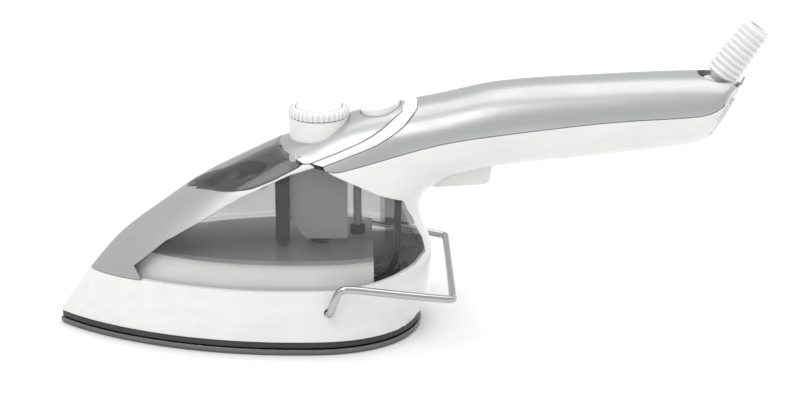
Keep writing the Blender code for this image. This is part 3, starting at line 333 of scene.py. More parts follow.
    def mesh(self, sole: int, heel: int, grip: int, rows: int) -> bpy.types.Mesh:
        """Build a fine mesh of the skin, in metres.

        Args:
            sole: Stations over the soleplate.
            heel: Stations round the rear column.
            grip: Stations along the handle.
            rows: Rows from bottom to top.

        Returns:
            The mesh, with smooth normals.
        """
        bm = bmesh.new()
        lines = []
        stations = self.stations(sole, heel, grip)
        for k, station in enumerate(stations):
            start, stop = self.inside_span(station)
            line = []
            for j in range(rows + 1):
                t = start + (stop - start) * (0.5 - 0.5 * math.cos(math.pi * j / rows))
                p = bent(station, t)
                open_foot = j == 0 and 0 < k < sole
                wide = self.half_width(p.x, p.y) if 0 < j < rows or open_foot else 0.0
                wide = 0.0 if k in (0, len(stations) - 1) else wide
                line.append((p.x * MM, wide * MM, p.y * MM))
            lines.append(line)
        for side in (1.0, -1.0):
            grid = [[bm.verts.new((x, side * y, z)) for x, y, z in line] for line in lines]
            for a, b in zip(grid, grid[1:]):
                for j in range(rows):
                    quad = [a[j], b[j], b[j + 1], a[j + 1]]
                    bm.faces.new(quad if side > 0 else quad[::-1])
        bmesh.ops.remove_doubles(bm, verts=bm.verts, dist=2e-6)
        bmesh.ops.dissolve_degenerate(bm, dist=1e-6, edges=bm.edges)
        bmesh.ops.recalc_face_normals(bm, faces=bm.faces)
        middle = [f for f in bm.faces if f.calc_center_median().y > 0.012]
        facing = sum(f.normal.y * f.calc_area() for f in middle)
        if facing < 0.0:
            bmesh.ops.reverse_faces(bm, faces=bm.faces)
        mesh = bpy.data.meshes.new("skin_%d" % int(10 * self.depth))
        bm.to_mesh(mesh)
        bm.free()
        return mesh


def bent(station: tuple[Vector, Vector, Vector], t: float) -> Vector:
    """A point on a station's curve, at a share from its bottom."""
    low, bend, high = station
    return low * (1.0 - t) ** 2 + bend * (2.0 * t * (1.0 - t)) + high * t * t


def handle_floor(x: float) -> float:
    """Height of the handle's underside."""
    return curve(HANDLE_FLOOR, x) if x < 84.0 else curve(UNDERSIDE, x)


class SkinGuide:
    """Fine copy of one skin that panels are fitted to."""

    def __init__(self, depth: float) -> None:
        self.mesh = BodySurface(depth).mesh(sole=84, heel=40, grip=56, rows=34)
        self.points = [v.co.copy() for v in self.mesh.vertices]
        self.faces = [tuple(p.vertices) for p in self.mesh.polygons]
        self.tree = BVHTree.FromPolygons(self.points, self.faces)
        self.normals = [Vector(n.vector) for n in self.mesh.vertex_normals]
        bpy.data.meshes.remove(self.mesh)

    def nearest(self, spot: Vector) -> tuple[Vector, Vector, float]:
        """The closest point of the skin.

        Args:
            spot: Any point.

        Returns:
            The point, the smooth normal there and its distance.
        """
        found, _, face, distance = self.tree.find_nearest(spot)
        corners = self.faces[face]
        weights = poly_3d_calc([self.points[i] for i in corners], found)
        normal = Vector((0.0, 0.0, 0.0))
        for i, weight in zip(corners, weights):
            normal += self.normals[i] * weight
        return found, normal.normalized(), distance


# ---------------------------------------------------------------- shader groups

def group_of(name: str, sockets: Sequence[tuple], kind: str = "ShaderNodeTree") -> bpy.types.NodeTree:
    """Start a node group.

    Args:
        name: Name of the group.
        sockets: (name, IN or OUT, socket type, default) rows.
        kind: Sort of node tree.

    Returns:
        The empty group with its sockets.
    """
    tree = bpy.data.node_groups.new(name, kind)
    for label, way, sort, default in sockets:
        socket = tree.interface.new_socket(
            label, in_out="INPUT" if way == "IN" else "OUTPUT", socket_type=sort
        )
        if default is not None:
            socket.default_value = default
    return tree


class Wiring:
    """Short way to add and join nodes in a tree."""

    def __init__(self, tree: bpy.types.NodeTree) -> None:
        self.tree = tree

    def add(self, kind: str, inputs: Optional[dict] = None, **settings) -> bpy.types.Node:
        """Add a node.

        Args:
            kind: Blender's name for the node.
            inputs: Socket name or number to a value, or to a socket to join.
            settings: Settings of the node.

        Returns:
            The node.
        """
        node = self.tree.nodes.new(kind)
        for key, value in settings.items():
            setattr(node, key, value)
        for key, value in (inputs or {}).items():
            if isinstance(value, bpy.types.NodeSocket):
                self.tree.links.new(value, node.inputs[key])
            else:
                node.inputs[key].default_value = value
        return node

    def join(self, source: bpy.types.NodeSocket, target: bpy.types.NodeSocket) -> None:
        """Join two sockets."""
        self.tree.links.new(source, target)


class SurfaceEffects:
    """Shared effects that the finishes draw on."""

    def __init__(self) -> None:
        self.grain = self._moulded_grain()
        self.handling = self._handling()
        self.rub = self._edge_rub()
        self.brush = self._brushing()
        self.cast = self._casting()
        self.tint = self._tint_depth()

    @staticmethod
    def _tint_depth() -> bpy.types.NodeTree:
        """Cover of a tinted clear wall: light at its foot, where a pale piece backs it."""
        tree = group_of("tint_depth", [
            ("Cover", "IN", "NodeSocketFloat", 0.3),
            ("Foot Cover", "IN", "NodeSocketFloat", 0.1),
            ("Foot Height", "IN", "NodeSocketFloat", 0.035),
            ("Alpha", "OUT", "NodeSocketFloat", None),
        ])
        w = Wiring(tree)
        given = w.add("NodeGroupInput")
        place = w.add("ShaderNodeTexCoord").outputs["Object"]
        parts = w.add("ShaderNodeSeparateXYZ", {"Vector": place})
        above = w.add("ShaderNodeMath", {0: parts.outputs["Z"], 1: given.outputs["Foot Height"]},
                      operation="SUBTRACT")
        share = w.add("ShaderNodeMapRange", {"Value": above.outputs[0], "From Min": -0.001,
                                             "From Max": 0.001})
        cover = w.add("ShaderNodeMix", {"Factor": share.outputs[0],
                                        2: given.outputs["Foot Cover"],
                                        3: given.outputs["Cover"]}, data_type="FLOAT")
        out = w.add("NodeGroupOutput")
        w.join(cover.outputs[0], out.inputs["Alpha"])
        return tree

    @staticmethod
    def _moulded_grain() -> bpy.types.NodeTree:
        """Fine texture of a moulded plastic, with a broad, faint ripple."""
        tree = group_of("moulded_grain", [
            ("Scale", "IN", "NodeSocketFloat", 2600.0),
            ("Ripple", "IN", "NodeSocketFloat", 0.35),
            ("Height", "OUT", "NodeSocketFloat", None),
        ])
        w = Wiring(tree)
        given = w.add("NodeGroupInput")
        place = w.add("ShaderNodeTexCoord").outputs["Object"]
        fine = w.add("ShaderNodeTexNoise", {"Vector": place, "Scale": given.outputs["Scale"],
                                            "Detail": 3.0, "Roughness": 0.6})
        broad = w.add("ShaderNodeTexNoise", {"Vector": place, "Scale": 55.0, "Detail": 1.0})
        mixed = w.add("ShaderNodeMix", {"Factor": given.outputs["Ripple"],
                                        2: fine.outputs["Fac"], 3: broad.outputs["Fac"]},
                      data_type="FLOAT")
        out = w.add("NodeGroupOutput")
        w.join(mixed.outputs[0], out.inputs["Height"])
        return tree

    @staticmethod
    def _handling() -> bpy.types.NodeTree:
        """Cloudy change of gloss where a surface is handled and wiped."""
        tree = group_of("handling_marks", [
            ("Smooth", "IN", "NodeSocketFloat", 0.2),
            ("Dull", "IN", "NodeSocketFloat", 0.35),
            ("Roughness", "OUT", "NodeSocketFloat", None),
            ("Cloud", "OUT", "NodeSocketFloat", None),
        ])
        w = Wiring(tree)
        given = w.add("NodeGroupInput")
        place = w.add("ShaderNodeTexCoord").outputs["Object"]
        cloud = w.add("ShaderNodeTexNoise", {"Vector": place, "Scale": 38.0, "Detail": 5.0,
                                             "Roughness": 0.62})
        streak = w.add("ShaderNodeMapping", {"Vector": place, "Scale": (30.0, 160.0, 160.0)})
        wiped = w.add("ShaderNodeTexNoise", {"Vector": streak.outputs[0], "Scale": 1.6,
                                             "Detail": 3.0})
        both = w.add("ShaderNodeMath", {0: cloud.outputs["Fac"], 1: wiped.outputs["Fac"]},
                     operation="MULTIPLY")
        share = w.add("ShaderNodeMapRange", {"Value": both.outputs[0], "From Min": 0.14,
                                             "From Max": 0.42})
        rough = w.add("ShaderNodeMix", {"Factor": share.outputs[0], 2: given.outputs["Smooth"],
                                        3: given.outputs["Dull"]}, data_type="FLOAT")
        out = w.add("NodeGroupOutput")
        w.join(rough.outputs[0], out.inputs["Roughness"])
        w.join(share.outputs[0], out.inputs["Cloud"])
        return tree

    @staticmethod
    def _edge_rub() -> bpy.types.NodeTree:
        """Mask of the edges that wear, broken up so that it is never even."""
        tree = group_of("edge_rub", [
            ("Width", "IN", "NodeSocketFloat", 0.0006),
            ("Mask", "OUT", "NodeSocketFloat", None),
            ("Normal", "OUT", "NodeSocketVector", None),
        ])
        w = Wiring(tree)
        given = w.add("NodeGroupInput")
        soft = w.add("ShaderNodeBevel", {"Radius": given.outputs["Width"]}, samples=3)
        shape = w.add("ShaderNodeNewGeometry")
        turn = w.add("ShaderNodeVectorMath", {0: soft.outputs[0], 1: shape.outputs["Normal"]},
                     operation="DOT_PRODUCT")
        edge = w.add("ShaderNodeMapRange", {"Value": turn.outputs["Value"], "From Min": 0.995,
                                            "From Max": 0.86})
        place = w.add("ShaderNodeTexCoord").outputs["Object"]
        broken = w.add("ShaderNodeTexNoise", {"Vector": place, "Scale": 420.0, "Detail": 4.0})
        patch = w.add("ShaderNodeMapRange", {"Value": broken.outputs["Fac"], "From Min": 0.4,
                                             "From Max": 0.62})
        mask = w.add("ShaderNodeMath", {0: edge.outputs[0], 1: patch.outputs[0]},
                     operation="MULTIPLY")
        out = w.add("NodeGroupOutput")
        w.join(mask.outputs[0], out.inputs["Mask"])
        w.join(soft.outputs[0], out.inputs["Normal"])
        return tree

    @staticmethod
    def _brushing() -> bpy.types.NodeTree:
        """Long fine lines of a polished or brushed metal."""
        tree = group_of("brushed_lines", [
            ("Smooth", "IN", "NodeSocketFloat", 0.12),
            ("Dull", "IN", "NodeSocketFloat", 0.26),
            ("Roughness", "OUT", "NodeSocketFloat", None),
            ("Height", "OUT", "NodeSocketFloat", None),
        ])
        w = Wiring(tree)
        given = w.add("NodeGroupInput")
        place = w.add("ShaderNodeTexCoord").outputs["Object"]
        stretched = w.add("ShaderNodeMapping", {"Vector": place, "Scale": (14.0, 900.0, 900.0)})
        lines = w.add("ShaderNodeTexNoise", {"Vector": stretched.outputs[0], "Scale": 3.0,
                                             "Detail": 4.0, "Roughness": 0.7})
        share = w.add("ShaderNodeMapRange", {"Value": lines.outputs["Fac"], "From Min": 0.3,
                                             "From Max": 0.7})
        rough = w.add("ShaderNodeMix", {"Factor": share.outputs[0], 2: given.outputs["Smooth"],
                                        3: given.outputs["Dull"]}, data_type="FLOAT")
        out = w.add("NodeGroupOutput")
        w.join(rough.outputs[0], out.inputs["Roughness"])
        w.join(lines.outputs["Fac"], out.inputs["Height"])
        return tree

    @staticmethod
    def _casting() -> bpy.types.NodeTree:
        """Pebbled skin of die-cast metal."""
        tree = group_of("cast_skin", [
            ("Scale", "IN", "NodeSocketFloat", 900.0),
            ("Height", "OUT", "NodeSocketFloat", None),
            ("Shade", "OUT", "NodeSocketFloat", None),
        ])
        w = Wiring(tree)
        given = w.add("NodeGroupInput")
        place = w.add("ShaderNodeTexCoord").outputs["Object"]
        pebble = w.add("ShaderNodeTexVoronoi", {"Vector": place, "Scale": given.outputs["Scale"]})
        cloud = w.add("ShaderNodeTexNoise", {"Vector": place, "Scale": 90.0, "Detail": 6.0})
        out = w.add("NodeGroupOutput")
        w.join(pebble.outputs["Distance"], out.inputs["Height"])
        w.join(cloud.outputs["Fac"], out.inputs["Shade"])
        return tree


# ---------------------------------------------------------------- finishes

@dataclass(frozen=True)
class Finish:
    """One finish of the iron.

    Attributes:
        name: What the maker calls it.
        slot: Material slot of the record.
        colour: Main colour, linear.
        worn: Colour where edges have rubbed.
        smooth: Roughness where it is cleanest.
        dull: Roughness where it is most handled.
        grain: Size of the surface texture, as noise scale.
        depth: Strength of the surface texture.
        metallic: 1 for bare metal.
        level: Specular level.
        coat: Weight of a clear top coat.
        alpha: Cover of a see-through plastic.
        foot: Its cover low down, where a pale piece backs it.
        edge: Width of the softened edge in metres.
    """

    name: str
    slot: str
    colour: Triple
    worn: Triple
    smooth: float
    dull: float
    grain: float = 2600.0
    depth: float = 0.05
    metallic: float = 0.0
    level: float = 0.5
    coat: float = 0.0
    alpha: float = 1.0
    foot: float = 0.75
    edge: float = 0.0004

    def build(self, effects: SurfaceEffects) -> bpy.types.Material:
        """Make the material.

        Args:
            effects: Shared effect groups.

        Returns:
            The finished material.
        """
        material = bpy.data.materials.new(self.name)
        material.use_nodes = True
        material.diffuse_color = (*self.colour, 1.0)
        w = Wiring(material.node_tree)
        shader = material.node_tree.nodes["Principled BSDF"]
        shader.inputs["Metallic"].default_value = self.metallic
        shader.inputs["Specular IOR Level"].default_value = self.level
        shader.inputs["Coat Weight"].default_value = self.coat
        shader.inputs["Coat Roughness"].default_value = 0.06
        rub = w.add("ShaderNodeGroup", node_tree=effects.rub)
        rub.inputs["Width"].default_value = self.edge
        self.wire(w, shader, rub, effects)
        if self.alpha < 1.0:
            tint = w.add("ShaderNodeGroup", node_tree=effects.tint)
            tint.inputs["Cover"].default_value = self.alpha
            tint.inputs["Foot Cover"].default_value = self.foot
            w.join(tint.outputs["Alpha"], shader.inputs["Alpha"])
            material.surface_render_method = "BLENDED"
        return material

    def wire(self, w: Wiring, shader: bpy.types.Node, rub: bpy.types.Node,
             effects: SurfaceEffects) -> None:
        """Join the effects of a moulded plastic."""
        marks = w.add("ShaderNodeGroup", node_tree=effects.handling)
        marks.inputs["Smooth"].default_value = self.smooth
        marks.inputs["Dull"].default_value = self.dull
        w.join(marks.outputs["Roughness"], shader.inputs["Roughness"])
        shade = tuple(0.93 * c for c in self.colour)
        body = w.add("ShaderNodeMix", {"Factor": marks.outputs["Cloud"], 6: (*self.colour, 1.0),
                                       7: (*shade, 1.0)}, data_type="RGBA")
        edge = w.add("ShaderNodeMix", {"Factor": rub.outputs["Mask"], 6: body.outputs[2],
                                       7: (*self.worn, 1.0)}, data_type="RGBA")
        w.join(edge.outputs[2], shader.inputs["Base Color"])
        grain = w.add("ShaderNodeGroup", node_tree=effects.grain)
        grain.inputs["Scale"].default_value = self.grain
        bump = w.add("ShaderNodeBump", {"Strength": self.depth, "Distance": 0.0004,
                                        "Height": grain.outputs["Height"],
                                        "Normal": rub.outputs["Normal"]})
        w.join(bump.outputs[0], shader.inputs["Normal"])


@dataclass(frozen=True)
class BrushedFinish(Finish):
    """A bare metal with polishing lines."""

    def wire(self, w: Wiring, shader: bpy.types.Node, rub: bpy.types.Node,
             effects: SurfaceEffects) -> None:
        """Join the effects of a polished metal."""
        lines = w.add("ShaderNodeGroup", node_tree=effects.brush)
        lines.inputs["Smooth"].default_value = self.smooth
        lines.inputs["Dull"].default_value = self.dull
        w.join(lines.outputs["Roughness"], shader.inputs["Roughness"])
        edge = w.add("ShaderNodeMix", {"Factor": rub.outputs["Mask"], 6: (*self.colour, 1.0),
                                       7: (*self.worn, 1.0)}, data_type="RGBA")
        w.join(edge.outputs[2], shader.inputs["Base Color"])
        bump = w.add("ShaderNodeBump", {"Strength": self.depth, "Distance": 0.0002,
                                        "Height": lines.outputs["Height"],
                                        "Normal": rub.outputs["Normal"]})
        w.join(bump.outputs[0], shader.inputs["Normal"])


@dataclass(frozen=True)
class CastFinish(Finish):
    """A die-cast metal with a pebbled skin."""

    def wire(self, w: Wiring, shader: bpy.types.Node, rub: bpy.types.Node,
             effects: SurfaceEffects) -> None:
        """Join the effects of a casting."""
        skin = w.add("ShaderNodeGroup", node_tree=effects.cast)
        skin.inputs["Scale"].default_value = self.grain
        body = w.add("ShaderNodeMix", {"Factor": skin.outputs["Shade"], 6: (*self.colour, 1.0),
                                       7: (*self.worn, 1.0)}, data_type="RGBA")
        w.join(body.outputs[2], shader.inputs["Base Color"])
        rough = w.add("ShaderNodeMapRange", {"Value": skin.outputs["Shade"],
                                             "To Min": self.smooth, "To Max": self.dull})
        w.join(rough.outputs[0], shader.inputs["Roughness"])
        bump = w.add("ShaderNodeBump", {"Strength": self.depth, "Distance": 0.0003,
                                        "Height": skin.outputs["Height"],
                                        "Normal": rub.outputs["Normal"]})
        w.join(bump.outputs[0], shader.inputs["Normal"])


FINISHES: dict[str, Finish] = {
    f.slot: f
    for f in (
        Finish("white gloss plastic", "white_plastic", (0.80, 0.80, 0.79), (0.70, 0.70, 0.69),
               0.17, 0.27, depth=0.02, level=0.5),
        Finish("satin silver lacquer", "silver_plastic", (0.47, 0.475, 0.48), (0.62, 0.62, 0.62),
               0.28, 0.40, grain=3400.0, depth=0.03, metallic=0.6, coat=0.2),
        Finish("smoky clear plastic", "smoky_plastic", (0.10, 0.101, 0.105), (0.2, 0.2, 0.2),
               0.05, 0.12, depth=0.006, level=1.0, alpha=0.22, foot=0.06),
        Finish("smoky lid plastic", "smoky_lid", (0.05, 0.05, 0.053), (0.16, 0.16, 0.16),
               0.05, 0.12, depth=0.006, level=1.0, alpha=0.5),
        Finish("charcoal resin", "charcoal_resin", (0.035, 0.035, 0.037), (0.10, 0.10, 0.10),
               0.42, 0.6, grain=1800.0, depth=0.12),
        Finish("fine grey plastic", "grey_plastic", (0.62, 0.62, 0.62), (0.72, 0.72, 0.72),
               0.38, 0.55, depth=0.08),
        BrushedFinish("polished steel", "bright_steel", (0.46, 0.46, 0.47), (0.66, 0.66, 0.66),
                      0.10, 0.22, depth=0.02, metallic=1.0),
        BrushedFinish("dark polished metal", "sole_metal", (0.17, 0.17, 0.175),
                      (0.5, 0.5, 0.5), 0.14, 0.26, depth=0.02, metallic=1.0),
        CastFinish("cast aluminium", "cast_aluminium", (0.50, 0.51, 0.52), (0.62, 0.62, 0.63),
                   0.36, 0.52, grain=900.0, depth=0.15, metallic=1.0),
        Finish("grey rubber", "grey_rubber", (0.07, 0.07, 0.07), (0.14, 0.14, 0.14),
               0.55, 0.72, grain=1500.0, depth=0.1),
        Finish("clear hose", "clear_hose", (0.6, 0.61, 0.61), (0.7, 0.7, 0.7),
               0.16, 0.3, depth=0.03, alpha=0.75),
    )
}


class Paintshop:
    """Makes each finish once and lays it on pieces."""

    def __init__(self) -> None:
        effects = SurfaceEffects()
        self.materials = {slot: f.build(effects) for slot, f in FINISHES.items()}

    def lay(self, obj: bpy.types.Object, slot: str, kind: Optional[str] = None) -> None:
        """Give a piece its finish, or another kind of finish in the same slot."""
        obj.data.materials.clear()
        obj.data.materials.append(self.materials[kind or slot])


# ---------------------------------------------------------------- mesh helpers

def placed(name: str, bm: bmesh.types.BMesh, smooth_below: float = 35.0) -> bpy.types.Object:
    """Put a finished mesh into the scene.

    Args:
        name: Name of the piece.
        bm: Its mesh, in metres; it is freed.
        smooth_below: Edges under this angle are shaded smooth.

    Returns:
        The piece's object.
    """
    bmesh.ops.recalc_face_normals(bm, faces=bm.faces)
    if bm.calc_volume(signed=True) < 0.0:
        bmesh.ops.reverse_faces(bm, faces=bm.faces)
    mesh = bpy.data.meshes.new(name)
    bm.to_mesh(mesh)
    bm.free()
    mesh.polygons.foreach_set("use_smooth", [True] * len(mesh.polygons))
    mesh.set_sharp_from_angle(angle=math.radians(smooth_below))
    obj = bpy.data.objects.new(name, mesh)
    bpy.context.scene.collection.objects.link(obj)
    return obj


def bridged(bm: bmesh.types.BMesh, rings: Sequence[Sequence[bmesh.types.BMVert]],
            closed: bool = False) -> None:
    """Join rings into a skin, with caps unless the last ring meets the first."""
    n = len(rings[0])
    pairs = list(zip(rings, rings[1:])) + ([(rings[-1], rings[0])] if closed else [])
    for a, b in pairs:
        for i in range(n):
            bm.faces.new([a[i], a[(i + 1) % n], b[(i + 1) % n], b[i]])
    if not closed:
        bm.faces.new(rings[0][::-1])
        bm.faces.new(rings[-1])


def turned(profile: Sequence[Point], base: Vector, way: Vector, sides: int = 96,
           closed: bool = False) -> bmesh.types.BMesh:
    """Turn a profile round an axis.

    Args:
        profile: (radius, height) in millimetres.
        base: Where height 0 is, in metres.
        way: Direction of the axis.
        sides: Facets round the axis.
        closed: True when the profile is a loop, as on a ring.

    Returns:
        The mesh.
    """
    bm = bmesh.new()
    turn = way.normalized().to_track_quat("Z", "Y").to_matrix()
    rings = []
    for radius, height in profile:
        ring = []
        for i in range(sides):
            angle = 2.0 * math.pi * i / sides
            spot = Vector((radius * math.cos(angle), radius * math.sin(angle), height)) * MM
            ring.append(bm.verts.new(base + turn @ spot))
        rings.append(ring)
    bridged(bm, rings, closed)
    return bm


def rounded(corners: Sequence[tuple[float, float, float]], steps: int = 5,
            closed: bool = False) -> list[Point]:
    """Round a profile's corners.

    Args:
        corners: (x, y, radius) of each corner.
        steps: Spans in each rounding.
        closed: True when the profile is a loop.

    Returns:
        The rounded profile.
    """
    out: list[Point] = []
    n = len(corners)
    for i, (x, y, radius) in enumerate(corners):
        here = Vector((x, y))
        if radius <= 0.0 or (not closed and i in (0, n - 1)):
            out.append((x, y))
            continue
        before = Vector(corners[i - 1][:2]) - here
        after = Vector(corners[(i + 1) % n][:2]) - here
        reach = min(radius, 0.45 * before.length, 0.45 * after.length)
        start, stop = here + before.normalized() * reach, here + after.normalized() * reach
        for k in range(steps + 1):
            t = k / steps
            p = start * (1 - t) ** 2 + here * (2 * t * (1 - t)) + stop * t * t
            out.append((p.x, p.y))
    return out


def repeated(name: str, unit: bpy.types.Object, count: int, material: bpy.types.Material,
             lay_out: Callable[[Wiring, bpy.types.Node], bpy.types.NodeSocket],
             core: Optional[bpy.types.Object] = None) -> bpy.types.Object:
    """Repeat a unit with Geometry Nodes and make the result a plain mesh.

    Args:
        name: Name of the finished piece.
        unit: Object that is repeated; it is removed afterwards.
        count: How many there are.
        material: Finish of the result.
        lay_out: Adds nodes that give the points from the group's inputs.
        core: Optional object that the repeats are added to; it is removed too.

    Returns:
        The finished piece.
    """
    tree = group_of(name + "_repeat", [
        ("Geometry", "IN", "NodeSocketGeometry", None),
        ("Unit", "IN", "NodeSocketObject", None),
        ("Count", "IN", "NodeSocketInt", 8),
        ("Finish", "IN", "NodeSocketMaterial", None),
        ("Geometry", "OUT", "NodeSocketGeometry", None),
    ], "GeometryNodeTree")
    w = Wiring(tree)
    given = w.add("NodeGroupInput")
    points = lay_out(w, given)
    source = w.add("GeometryNodeObjectInfo", {"Object": given.outputs["Unit"]})
    laid = w.add("GeometryNodeInstanceOnPoints", {"Points": points,
                                                  "Instance": source.outputs["Geometry"]})
    spin = w.add("GeometryNodeInputNamedAttribute", {"Name": "spin"}, data_type="FLOAT_VECTOR")
    facing = w.add("FunctionNodeEulerToRotation", {0: spin.outputs["Attribute"]})
    w.join(facing.outputs[0], laid.inputs["Rotation"])
    size = w.add("GeometryNodeInputNamedAttribute", {"Name": "size"}, data_type="FLOAT")
    w.join(size.outputs["Attribute"], laid.inputs["Scale"])
    real = w.add("GeometryNodeRealizeInstances", {"Geometry": laid.outputs[0]})
    both = w.add("GeometryNodeJoinGeometry")
    w.join(real.outputs[0], both.inputs[0])
    w.join(given.outputs["Geometry"], both.inputs[0])
    painted = w.add("GeometryNodeSetMaterial", {"Geometry": both.outputs[0],
                                                "Material": given.outputs["Finish"]})
    out = w.add("NodeGroupOutput")
    w.join(painted.outputs[0], out.inputs[0])
    holder = core
    if holder is None:
        holder = bpy.data.objects.new(name + "_core", bpy.data.meshes.new(name + "_core"))
        bpy.context.scene.collection.objects.link(holder)
    modifier = holder.modifiers.new("repeat", "NODES")
    modifier.node_group = tree
    keys = {s.name: s.identifier for s in tree.interface.items_tree if s.in_out == "INPUT"}
    modifier[keys["Unit"]] = unit
    modifier[keys["Count"]] = count
    modifier[keys["Finish"]] = material
    seen = bpy.context.evaluated_depsgraph_get()
    seen.update()
    mesh = bpy.data.meshes.new_from_object(holder.evaluated_get(seen))
    mesh.name = name
    for label in ("spin", "size"):
        if label in mesh.attributes:
            mesh.attributes.remove(mesh.attributes[label])
    for done in (holder, unit):
        bpy.data.objects.remove(done, do_unlink=True)
    obj = bpy.data.objects.new(name, mesh)
    bpy.context.scene.collection.objects.link(obj)
    return obj


def ring_points(radius: float, centre: Triple) -> Callable:
    """Lay repeats evenly round a level circle, each with its +X pointing outwards.

    Args:
        radius: Radius of the circle in metres.
        centre: Middle of the circle in metres.

    Returns:
        A function for repeated().
    """

    def lay_out(w: Wiring, given: bpy.types.Node) -> bpy.types.NodeSocket:
        line = w.add("GeometryNodeMeshLine", {"Count": given.outputs["Count"],
                                              "Offset": (0.0, 0.0, 0.0)})
        number = w.add("GeometryNodeInputIndex")
        share = w.add("ShaderNodeMath", {0: number.outputs[0], 1: given.outputs["Count"]},
                      operation="DIVIDE")
        angle = w.add("ShaderNodeMath", {0: share.outputs[0], 1: 2.0 * math.pi},
                      operation="MULTIPLY")
        across = w.add("ShaderNodeMath", {0: angle.outputs[0]}, operation="COSINE")
        along_y = w.add("ShaderNodeMath", {0: angle.outputs[0]}, operation="SINE")
        unit = w.add("ShaderNodeCombineXYZ", {0: across.outputs[0], 1: along_y.outputs[0]})
        wide = w.add("ShaderNodeVectorMath", {0: unit.outputs[0], 3: radius}, operation="SCALE")
        moved = w.add("ShaderNodeVectorMath", {0: wide.outputs[0], 1: centre}, operation="ADD")
        spot = w.add("GeometryNodeSetPosition", {"Geometry": line.outputs[0],
                                                 "Position": moved.outputs[0]})
        turn = w.add("ShaderNodeCombineXYZ", {2: angle.outputs[0]})
        kept = w.add("GeometryNodeStoreNamedAttribute", {
            "Geometry": spot.outputs[0], "Name": "spin", "Value": turn.outputs[0]},
            data_type="FLOAT_VECTOR")
        sized = w.add("GeometryNodeStoreNamedAttribute", {
            "Geometry": kept.outputs[0], "Name": "size", "Value": 1.0}, data_type="FLOAT")
        return sized.outputs[0]

    return lay_out


def line_points(step: Vector, start: Vector, turn: Triple, taper: float) -> Callable:
    """Lay repeats in a row, each a little smaller than the last.

    Args:
        step: From one repeat to the next, in metres.
        start: Where the first one is.
        turn: Euler angles of every repeat.
        taper: How much smaller the last one is.

    Returns:
        A function for repeated().
    """

    def lay_out(w: Wiring, given: bpy.types.Node) -> bpy.types.NodeSocket:
        line = w.add("GeometryNodeMeshLine", {"Count": given.outputs["Count"],
                                              "Start Location": start, "Offset": step})
        kept = w.add("GeometryNodeStoreNamedAttribute", {
            "Geometry": line.outputs[0], "Name": "spin", "Value": turn},
            data_type="FLOAT_VECTOR")
        number = w.add("GeometryNodeInputIndex")
        share = w.add("ShaderNodeMath", {0: number.outputs[0], 1: given.outputs["Count"]},
                      operation="DIVIDE")
        loss = w.add("ShaderNodeMath", {0: share.outputs[0], 1: -taper, 2: 1.0},
                     operation="MULTIPLY_ADD")
        sized = w.add("GeometryNodeStoreNamedAttribute", {
            "Geometry": kept.outputs[0], "Name": "size", "Value": loss.outputs[0]},
            data_type="FLOAT")
        return sized.outputs[0]

    return lay_out


# ---------------------------------------------------------------- panels

@dataclass
class PanelFitter:
    """Fits a working part's walls to the fine skins."""

    outer: SkinGuide
    inner: SkinGuide
    longest: float = 2.6 * MM
    reach: float = 0.75 * MM

    def fit(self, node: str, rounds: int = 4) -> bpy.types.Object:
        """Make the shown panel of a working part.

        Args:
            node: Name of the working part.
            rounds: How often long edges are halved.

        Returns:
            The panel, with the skin's own smooth normals.
        """
        bm = bmesh.new()
        bm.from_mesh(frame["nodes"][node].data)
        bmesh.ops.remove_doubles(bm, verts=bm.verts, dist=2e-6)
        bmesh.ops.recalc_face_normals(bm, faces=bm.faces)
        if bm.calc_volume(signed=True) < 0.0:
            bmesh.ops.reverse_faces(bm, faces=bm.faces)
        skin = bm.faces.layers.int.new("skin")
        for f in bm.faces:
            f[skin] = self.skin_of(f).value
        for _ in range(rounds):
            self.settle(bm, skin)
            long = [e for e in bm.edges if e.calc_length() > self.longest
                    and any(f[skin] for f in e.link_faces)]
            if not long:
                break
            bmesh.ops.subdivide_edges(bm, edges=long, cuts=1)
            bmesh.ops.triangulate(bm, faces=[f for f in bm.faces if len(f.verts) > 3])
        self.settle(bm, skin)
        panel = placed("shown_" + node, bm, 32.0)
        self.shade(panel)
        return panel

    def skin_of(self, face: bmesh.types.BMFace) -> Skin:
        """Tell which skin a facet lies on, if any."""
        for kind, guide, sign in ((Skin.OUTER, self.outer, 1.0), (Skin.INNER, self.inner, -1.0)):
            near = [guide.nearest(v.co) for v in face.verts]
            if max(n[2] for n in near) > self.reach:
                continue
            normal = guide.nearest(face.calc_center_median())[1]
            if face.normal.dot(normal) * sign > 0.72 and abs(face.normal.dot(normal)) > 0.72:
                return kind
        return Skin.NONE

    def settle(self, bm: bmesh.types.BMesh, skin) -> None:
        """Move the corners of skin facets onto their skin."""
        for v in bm.verts:
            kinds = {f[skin] for f in v.link_faces}
            guide = None
            if Skin.OUTER.value in kinds:
                guide = self.outer
            elif Skin.INNER.value in kinds:
                guide = self.inner
            if guide is None:
                continue
            found, _, distance = guide.nearest(v.co)
            if distance < 1.4 * self.reach:
                v.co = found

    def shade(self, panel: bpy.types.Object) -> None:
        """Give skin facets the skin's own normals."""
        mesh = panel.data
        normals = [Vector(c.vector) for c in mesh.corner_normals]
        kinds = mesh.attributes["skin"].data
        known: dict[tuple[int, int], Vector] = {}
        for p in mesh.polygons:
            kind = kinds[p.index].value
            if kind == Skin.NONE.value:
                continue
            guide, sign = (self.outer, 1.0) if kind == Skin.OUTER.value else (self.inner, -1.0)
            for loop in p.loop_indices:
                v = mesh.loops[loop].vertex_index
                if (v, kind) not in known:
                    known[v, kind] = guide.nearest(mesh.vertices[v].co)[1] * sign
                if known[v, kind].dot(p.normal) > 0.5:
                    normals[loop] = known[v, kind]
        mesh.attributes.remove(mesh.attributes["skin"])
        mesh.normals_split_custom_set(normals)


# ---------------------------------------------------------------- sub-assemblies

